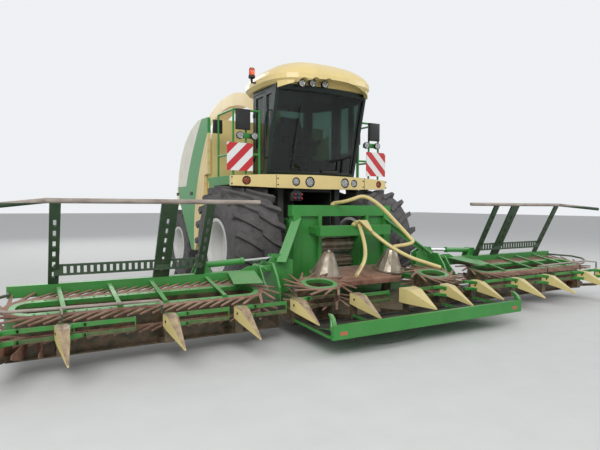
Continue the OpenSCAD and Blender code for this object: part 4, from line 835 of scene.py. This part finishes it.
arm_route = ((-440, 2190, 8), (-445, 2420, 24), (-436, 2800, 18), (-430, 3040, 14))
wiper_arm = pipe("wiper_arm", eased([on_screen(*p) for p in arm_route]), 0.006)
done(wiper_arm, black_plastic, angle=60)
blade_route = ((-462, 2460, 8), (-446, 2600, 9), (-436, 2800, 10), (-426, 3000, 9), (-416, 3130, 8))
blade = pipe("wiper_blade", [on_screen(*p) for p in blade_route], 0.007)
pivot = drum("wiper_pivot", on_screen(-440, 2190, 4), 0.026, 0.03, 20, (104, 0, 0))
pick(pivot, lambda c, n: n.y < -0.7)
inset(0.006)
draw_out((0, -0.010, 0), (0.8, 0.8, 0.8), on_screen(-440, 2190, 22))
done(pivot, black_plastic, bevel=0.002)
done(blade, black_plastic, angle=60)
latch_mid = on_screen(270, 2135, 4)
latch = box("screen_latch", latch_mid, (0.26, 0.02, 0.05))
for end, test in ((-1, "-x"), (1, "+x")):
    pick(latch, test)
    draw_out((end * 0.03, -0.006, 0.012), (1, 1, 0.7), latch_mid)
pick(latch, lambda c, n: n.y < -0.9 and abs(c.x - 0.27) < 0.05)
inset(0.008)
draw_out((0, -0.012, 0))
done(latch, black_plastic, bevel=0.004)

# Rubber gasket round the windscreen, in line with the pillars
edge_x, low_z, high_z = 800, 2122, 3344
climb = (high_z - low_z) / 8
gasket_route = ([(edge_x, low_z + i * climb) for i in range(9)] +
                [(edge_x * (1 - i / 8), high_z) for i in range(17)] +
                [(-edge_x, high_z - i * climb) for i in range(9)] +
                [(-edge_x * (1 - i / 8), low_z) for i in range(17)])
gasket = pipe("screen_gasket", [on_screen(x, z, -22) for x, z in gasket_route], 0.010)
done(gasket, black_plastic, angle=60)

# Upright grab handles beside the doors
for side, name in sides:
    run = ((852, -205, 2330), (905, -205, 2330), (905, -230, 2700), (905, -300, 3060), (852, -300, 3060))
    handle = pipe("grab_handle_" + name, eased([spot(side * x, y, z) for x, y, z in run]), 0.012)
    done(handle, black_plastic, angle=60)

# ----------
# Bumper seams and fixings: the bumper is bolted together from a middle and two end mouldings, with
# rubber in the joints and flat cap screws beside them.
seam = box("bumper_seams", (0, 0, 0), (0.006, 0.006, 0.198))
pick(seam, lambda c, n: abs(n.z) > 0.9)
draw_out((0, 0.012, 0))
repeat(seam, [on_bumper(x, bumper_mid, 4) for x in (-763, 960)])
done(seam, black_plastic, bevel=0.001)
screw = drum("bumper_screws", (0, 0, 0), 0.011, 0.008, 16, facing_front)
pick(screw, "-y")
inset(0.004)
draw_out((0, 0.003, 0), (0.8, 1, 0.8), (0, 0, 0))
repeat(screw, [on_bumper(x, z, 5) for x in (-1478, -735, 930, 1478) for z in (1908, 2006)])
done(screw, black_plastic, angle=30)

# ----------
# Cone trim: six welded ribs up each cone and a hexagonal cap nut on its top, all worn bare, turning
# with the cone.
deck = shift(0, -1989, 610) @ spun(11, "X")   # the header's tilted deck
for side, name in sides:
    cone_place = deck @ Matrix.Translation((side * 0.56, 0.492, 0))
    rib = box("cone_ribs_" + name, (0.134, 0, 0.094), (0.016, 0.010, 0.30), (0, -24.2, 0))
    pick(rib, lambda c, n: n.z < -0.8)
    draw_out((0.024, 0, -0.012), (1.4, 1.2, 1), (0.2, 0, -0.05))
    repeat(rib, [cone_place @ spun(i * 60) for i in range(6)])
    done(rib, bare_steel, "cone_" + name, bevel=0.003)
    nut = drum("cone_nut_" + name, (0, 0, 0.252), 0.036, 0.02, 6)
    pick(nut, "+z")
    inset(0.008)
    draw_out((0, 0, 0.010), (0.9, 0.9, 1), (0, 0, 0.262))
    draw_out((0, 0, 0.008), (0.6, 0.6, 1), (0, 0, 0.27))
    repeat(nut, [cone_place])
    done(nut, bare_steel, "cone_" + name, bevel=0.0015)

# ----------
# Crop floor under the cones: folded sheet steel, bare and rusty, that leads the stalks up to the
# rolls, with its front edge bent down.
floor_plate = box("crop_floor", (0, 0.51, -0.079), (1.28, 0.44, 0.005))
pick(floor_plate, "-y")
draw_out((0, -0.05, -0.03), (0.94, 1, 1), (0, 0.2, -0.079))
draw_out((0, -0.02, -0.06))
pick(floor_plate, "+y")
draw_out((0, 0.05, 0.0), (0.8, 1, 1), (0, 0.73, -0.079))
repeat(floor_plate, [deck])
done(floor_plate, rusty_iron, "feeder", bevel=0.0015)

# ----------
# Crop point fittings: two bent steel straps, painted green, from the guide strips round to each
# point's side, and a black cap screw through each of its cheeks.
# Each row: x of a point, y of its back, height of its screws, and half its width
point_rows = {"feeder": [(750, -2414, 470, 70), (1500, -2284, 450, 70)],
              "wing": [(x, -2394, 455, 62) for x in (2250, 3000, 3960, 4500)]}
for side, name in sides:
    for body, key in (("feeder", "feeder"), ("wing_" + name, "wing")):
        strap = None
        for x, back, _, half in point_rows[key]:
            for level in (490, 392):
                route = [spot(side * px, py, level) for px, py in
                         ((x - 210, back + 19), (x - half - 60, back + 19), (x - half - 4, back - 10),
                          (x - half * 0.92, back - 120))]
                band = pipe("strap", eased(route, 8), 0.005, width=0.044)
                if strap:
                    strap.select_set(True)
                    bpy.context.view_layer.objects.active = strap
                    bpy.ops.object.join()
                else:
                    strap = band
        strap.name = strap.data.name = "point_straps_" + key + "_" + name
        done(strap, green_paint, body, angle=50)
        bolt = drum("point_screws_" + key + "_" + name, (0, 0, 0), 0.013, 0.012, 12, facing_side)
        pick(bolt, lambda c, n: abs(n.x) > 0.9)
        inset(0.004)
        draw_out((0, 0, 0), (0.7, 0.7, 0.7), (0, 0, 0))
        repeat(bolt, [shift(side * (x + cheek * half * 0.93), back - 85, height)
                      for x, back, height, half in point_rows[key] for cheek in (-1, 1)])
        done(bolt, black_plastic, body, angle=30)

# ----------
# Guide rivets: round steel heads along both sides of each chain's guide, over the upper fingers, in
# the guide's green paint.
def rivets(name, first, last, body, mirrored):
    """Rivets on a loop guide from x = first to x = last, at both of its long sides."""
    head = start("uv_sphere", name, (0, 0, 0), stretch=(1, 1, 0.5), segments=10, ring_count=6, radius=0.011)
    pick(head, lambda c, n: c.z < -0.001)
    bpy.ops.transform.resize(value=(1, 1, 0), center_override=(0, 0, -0.001))
    count = max(1, round((last - first) / 110))
    row = [deck @ Matrix.Translation((x / 1000, y, 0.002)) for y in (-0.168, 0.168)
           for x in (first + (last - first) * i / count for i in range(count + 1))]
    repeat(head, [other_side @ place for place in row] if mirrored else row)
    return done(head, green_paint, body, angle=60)


for side, name in sides:
    rivets("guide_rivets_" + name, 930, 1035, "feeder", side < 0)
    rivets("wing_rivets_" + name, 2060, 4170, "wing_" + name, side < 0)

# ----------
# Stalk rotor under each wing's outer end: a star of ten worn, rusty steel blades, welded to the
# guide's lower drum.
for side, name in sides:
    vane = box("end_rotor_" + name, (0.205, 0, -0.315), (0.15, 0.008, 0.14))
    pick(vane, "+x")
    draw_out((0.05, 0.03, 0.0), (1, 1, 0.6), (0.28, 0, -0.33))
    draw_out((0.02, 0.035, 0.0), (1, 1, 0.5), (0.33, 0, -0.34))
    repeat(vane, [(other_side if side < 0 else here) @ deck @ Matrix.Translation((4.19, 0, 0)) @
                  spun(i * 36) for i in range(10)])
    done(vane, rusty_iron, "wing_" + name, bevel=0.0015)

# ----------
# Transport guard ends: cast lugs that turn back to the header, each with a boss on its outer face,
# in the beam's green.
lug = box("guard_lugs", spot(1478, -3046, 318), (0.05, 0.055, 0.07))
pick(lug, "+z")
draw_out((-0.01, 0.04, 0.07), (0.7, 1, 1), spot(1470, -3010, 420))
draw_out((-0.01, 0.05, 0.03), (0.8, 1, 1), spot(1470, -2960, 450))
pick(lug, "+x")
inset(0.014)
draw_out((0.016, 0, 0), (1, 0.7, 0.7), spot(1500, -3040, 330))
repeat(lug, both_sides)
done(lug, green_paint, "feeder", bevel=0.004)

# ----------
# Crop pusher: a bow and a forked bar of bent steel tube in cream paint, welded to a plate and to two
# flat feet.
bow_run = ((-170, -1085, 1622), (-170, -1450, 1650), (90, -1600, 1770), (620, -1860, 1150),
           (620, -1990, 1060), (340, -1850, 1010))
right_run = ((0, -1390, 1332), (0, -1480, 1370), (-290, -2080, 930), (-640, -2300, 720))
left_run = ((0, -1480, 1365), (240, -2080, 930), (800, -2300, 740))
for name, run, radius in (("pusher_bow", bow_run, 0.027), ("pusher_bar_right", right_run, 0.026),
                          ("pusher_bar_left", left_run, 0.026)):
    tube = pipe(name, eased([spot(*p) for p in run], 8), radius, sides=16)
    done(tube, point_paint, "feeder", angle=60)
    if name == "pusher_bow":
        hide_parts("crop_pusher")
web = box("pusher_plate", spot(0, -1530, 1332), (0.15, 0.16, 0.012), (-36, 0, 0))
pick(web, lambda c, n: n.y < -0.6)
draw_out((0, -0.13, -0.095), (0.55, 1, 1), spot(0, -1650, 1250))
draw_out((0, -0.06, -0.044), (0.5, 1, 1), spot(0, -1700, 1210))
done(web, point_paint, "feeder", bevel=0.004)
foot = box("pusher_feet", spot(-170, -1090, 1598), (0.07, 0.08, 0.014))
pick(foot, "+z")
draw_out((0, 0, 0.03), (0.6, 0.6, 1), spot(-170, -1090, 1610))
lower = Matrix.Translation(spot(0, -1390, 1308)) @ Matrix.Translation(-spot(-170, -1090, 1598))
repeat(foot, [here, lower])
done(foot, point_paint, "feeder", bevel=0.003)

# ----------
# Shade panels: black sheets, sagging a little, between the crop points' brackets, from the black on the
# guard back to the pan, put in as painted shade behind the beam.
panel = box("shade_panels", (0, 0, 0), (0.64, 0.404, 0.006), (-10.1, 0, 0))
bpy.ops.mesh.subdivide(number_cuts=6)
pick(panel, lambda c, n: abs(c.x) < 0.2 and abs(c.y) < 0.12, "VERT")
bpy.ops.transform.translate(value=(0, 0, -0.006))
pick(panel, "-y")
draw_out((0, 0, -0.018))
repeat(panel, [shift(side * x, -2312, 206) for side in (-1, 1) for x in (375, 1120)])
done(panel, black_plastic, "feeder", bevel=0.002, angle=60)

# ----------
# Wheel nuts and hub screws: bare steel hexagons in a ring on each wheel's disc, and smaller ones
# round its hub.
# Each row: wheel, distance out and height of the disc, place along the machine, then the nuts' number,
# the radius of their circle and of one nut
for wheel, out, high, along, count, circle, size in (("front_wheel", 1341, 943, 0, 12, 0.226, 0.020),
                                                     ("rear_wheel", 1086, 740, 3150, 10, 0.176, 0.017)):
    for side, name in sides:
        hub, outward = Matrix.Translation(spot(side * out, along, high)), "+x" if side > 0 else "-x"
        nut = drum(wheel + "_nuts_" + name, (side * 0.006, circle, 0), size, 0.016, 6, facing_side)
        pick(nut, outward)
        inset(size * 0.3)
        draw_out((side * 0.004, 0, 0), (1, 0.9, 0.9), (0, circle, 0))
        draw_out((side * 0.014, 0, 0), (1, 0.8, 0.8), (0, circle, 0))
        repeat(nut, [hub @ spun(i * 360 / count, "X") for i in range(count)])
        done(nut, bare_steel, wheel + "_" + name, bevel=0.001)
        cap = drum(wheel + "_cap_screws_" + name, (side * 0.062, circle * 0.48, 0), size * 0.55, 0.012, 6,
                   facing_side)
        pick(cap, outward)
        inset(size * 0.15)
        draw_out((side * 0.003, 0, 0), (1, 0.8, 0.8), (0, circle * 0.48, 0))
        repeat(cap, [hub @ spun(i * 45 + 20, "X") for i in range(8)])
        done(cap, bare_steel, wheel + "_" + name, bevel=0.001)

# ----------
# Cable of the transport guard: black rubber, 12 mm thick, hanging in a loop under the beam and held
# at both ends.
corners = ((-1200, 199), (-1190, 118), (-979, 98), (-798, 72), (-523, 76), (-300, 98), (-250, 199))
cable_route = eased([spot(x, -3050, z) for x, z in corners], 10)
cable_length = sum((b - a).length for a, b in zip(cable_route, cable_route[1:]))
cable = pipe("guard_cable", cable_route, 0.006)
done(cable, black_plastic, "feeder", angle=60)

# ----------
# Hydraulic couplings: a grey valve block hung under the bumper, with red and blue moulded dust caps
# in rows on its front.
block = box("coupling_block", spot(-358, -262, 1728), (0.19, 0.08, 0.14))
pick(block, "+z")
draw_out((0, -0.02, 0.02), (0.5, 0.6, 1), spot(-358, -270, 1800))
draw_out((0, 0, 0.040))
pick(block, lambda c, n: n.y < -0.9 and c.z < 1.8)
inset(0.012)
draw_out((0, -0.010, 0))
done(block, frame_paint, bevel=0.004)
for name, colour, columns in (("red", tone(150, 30, 34), (-0.06, 0.06)), ("blue", tone(36, 60, 110), (0.0,))):
    cover = Finish("coupling_" + name)
    scuff = cover.noise(30.0, 4.0).held(0.4, 0.8)
    cover_finish = cover.give(cover.mix(scuff * 0.5, colour, tone(92, 86, 80)), scuff * 0.3 + 0.4)
    plug = drum("coupling_caps_" + name, (0, 0, 0), 0.014, 0.05, 20, facing_front)
    pick(plug, "-y")
    draw_out((0, -0.004, 0), (1.2, 1, 1.2), (0, 0, 0))
    draw_out((0, -0.014, 0))
    draw_out((0, -0.004, 0), (0.8, 1, 0.8), (0, 0, 0))
    repeat(plug, [shift(-358 + x * 1000, -332, z) for x in columns for z in (1695, 1760)])
    done(plug, cover_finish, bevel=0.0015)

# ----------
# Rear lights: black housings with a red, an amber and a clear field in moulded glass, on each side of
# the radiator's grille.
red_glass = glassy("red_glass", tone(196, 24, 22))
light = box("rear_light_housings", spot(735, 4310, 1860), (0.13, 0.04, 0.33))
pick(light, "+y")
inset(0.012)
draw_out((0, -0.012, 0))
repeat(light, both_sides)
done(light, black_plastic, bevel=0.004)
for name, glass_finish, height, size in (("red", red_glass, 1940, 0.12), ("amber", amber_glass, 1845, 0.07),
                                         ("clear", clear_glass, 1770, 0.07)):
    field = box("rear_lights_" + name, spot(735, 4322, height), (0.100, 0.016, size))
    pick(field, "+y")
    inset(0.010)
    draw_out((0, 0.004, 0), (0.94, 1, 0.94), spot(735, 4330, height))
    repeat(field, both_sides)
    done(field, glass_finish, bevel=0.003)

# ----------
# Panel fittings: black flush latches on the side panels, each with a finger recess and a key barrel,
# and an amber side light in front of them.
latch = box("panel_latches", (0, 0, 0), (0.010, 0.13, 0.06))
pick(latch, "+x")
inset(0.010, (-0.004, 0, 0))
pick(latch, lambda c, n: n.x > 0.9 and abs(c.y) < 0.05 and abs(c.z) < 0.02)
inset(0.012)
draw_out((0.005, 0.01, 0), (1, 0.5, 0.6), (0, 0.02, 0))
repeat(latch, [side @ shift(1453, y, 1790) for side in both_sides for y in (1700, 2560)])
done(latch, black_plastic, bevel=0.002)
marker = box("side_lights", spot(1454, 1330, 1640), (0.012, 0.10, 0.045))
pick(marker, "+x")
inset(0.008)
draw_out((0.004, 0, 0), (1, 0.92, 0.88), spot(1460, 1330, 1640))
repeat(marker, both_sides)
done(marker, amber_glass, bevel=0.002)
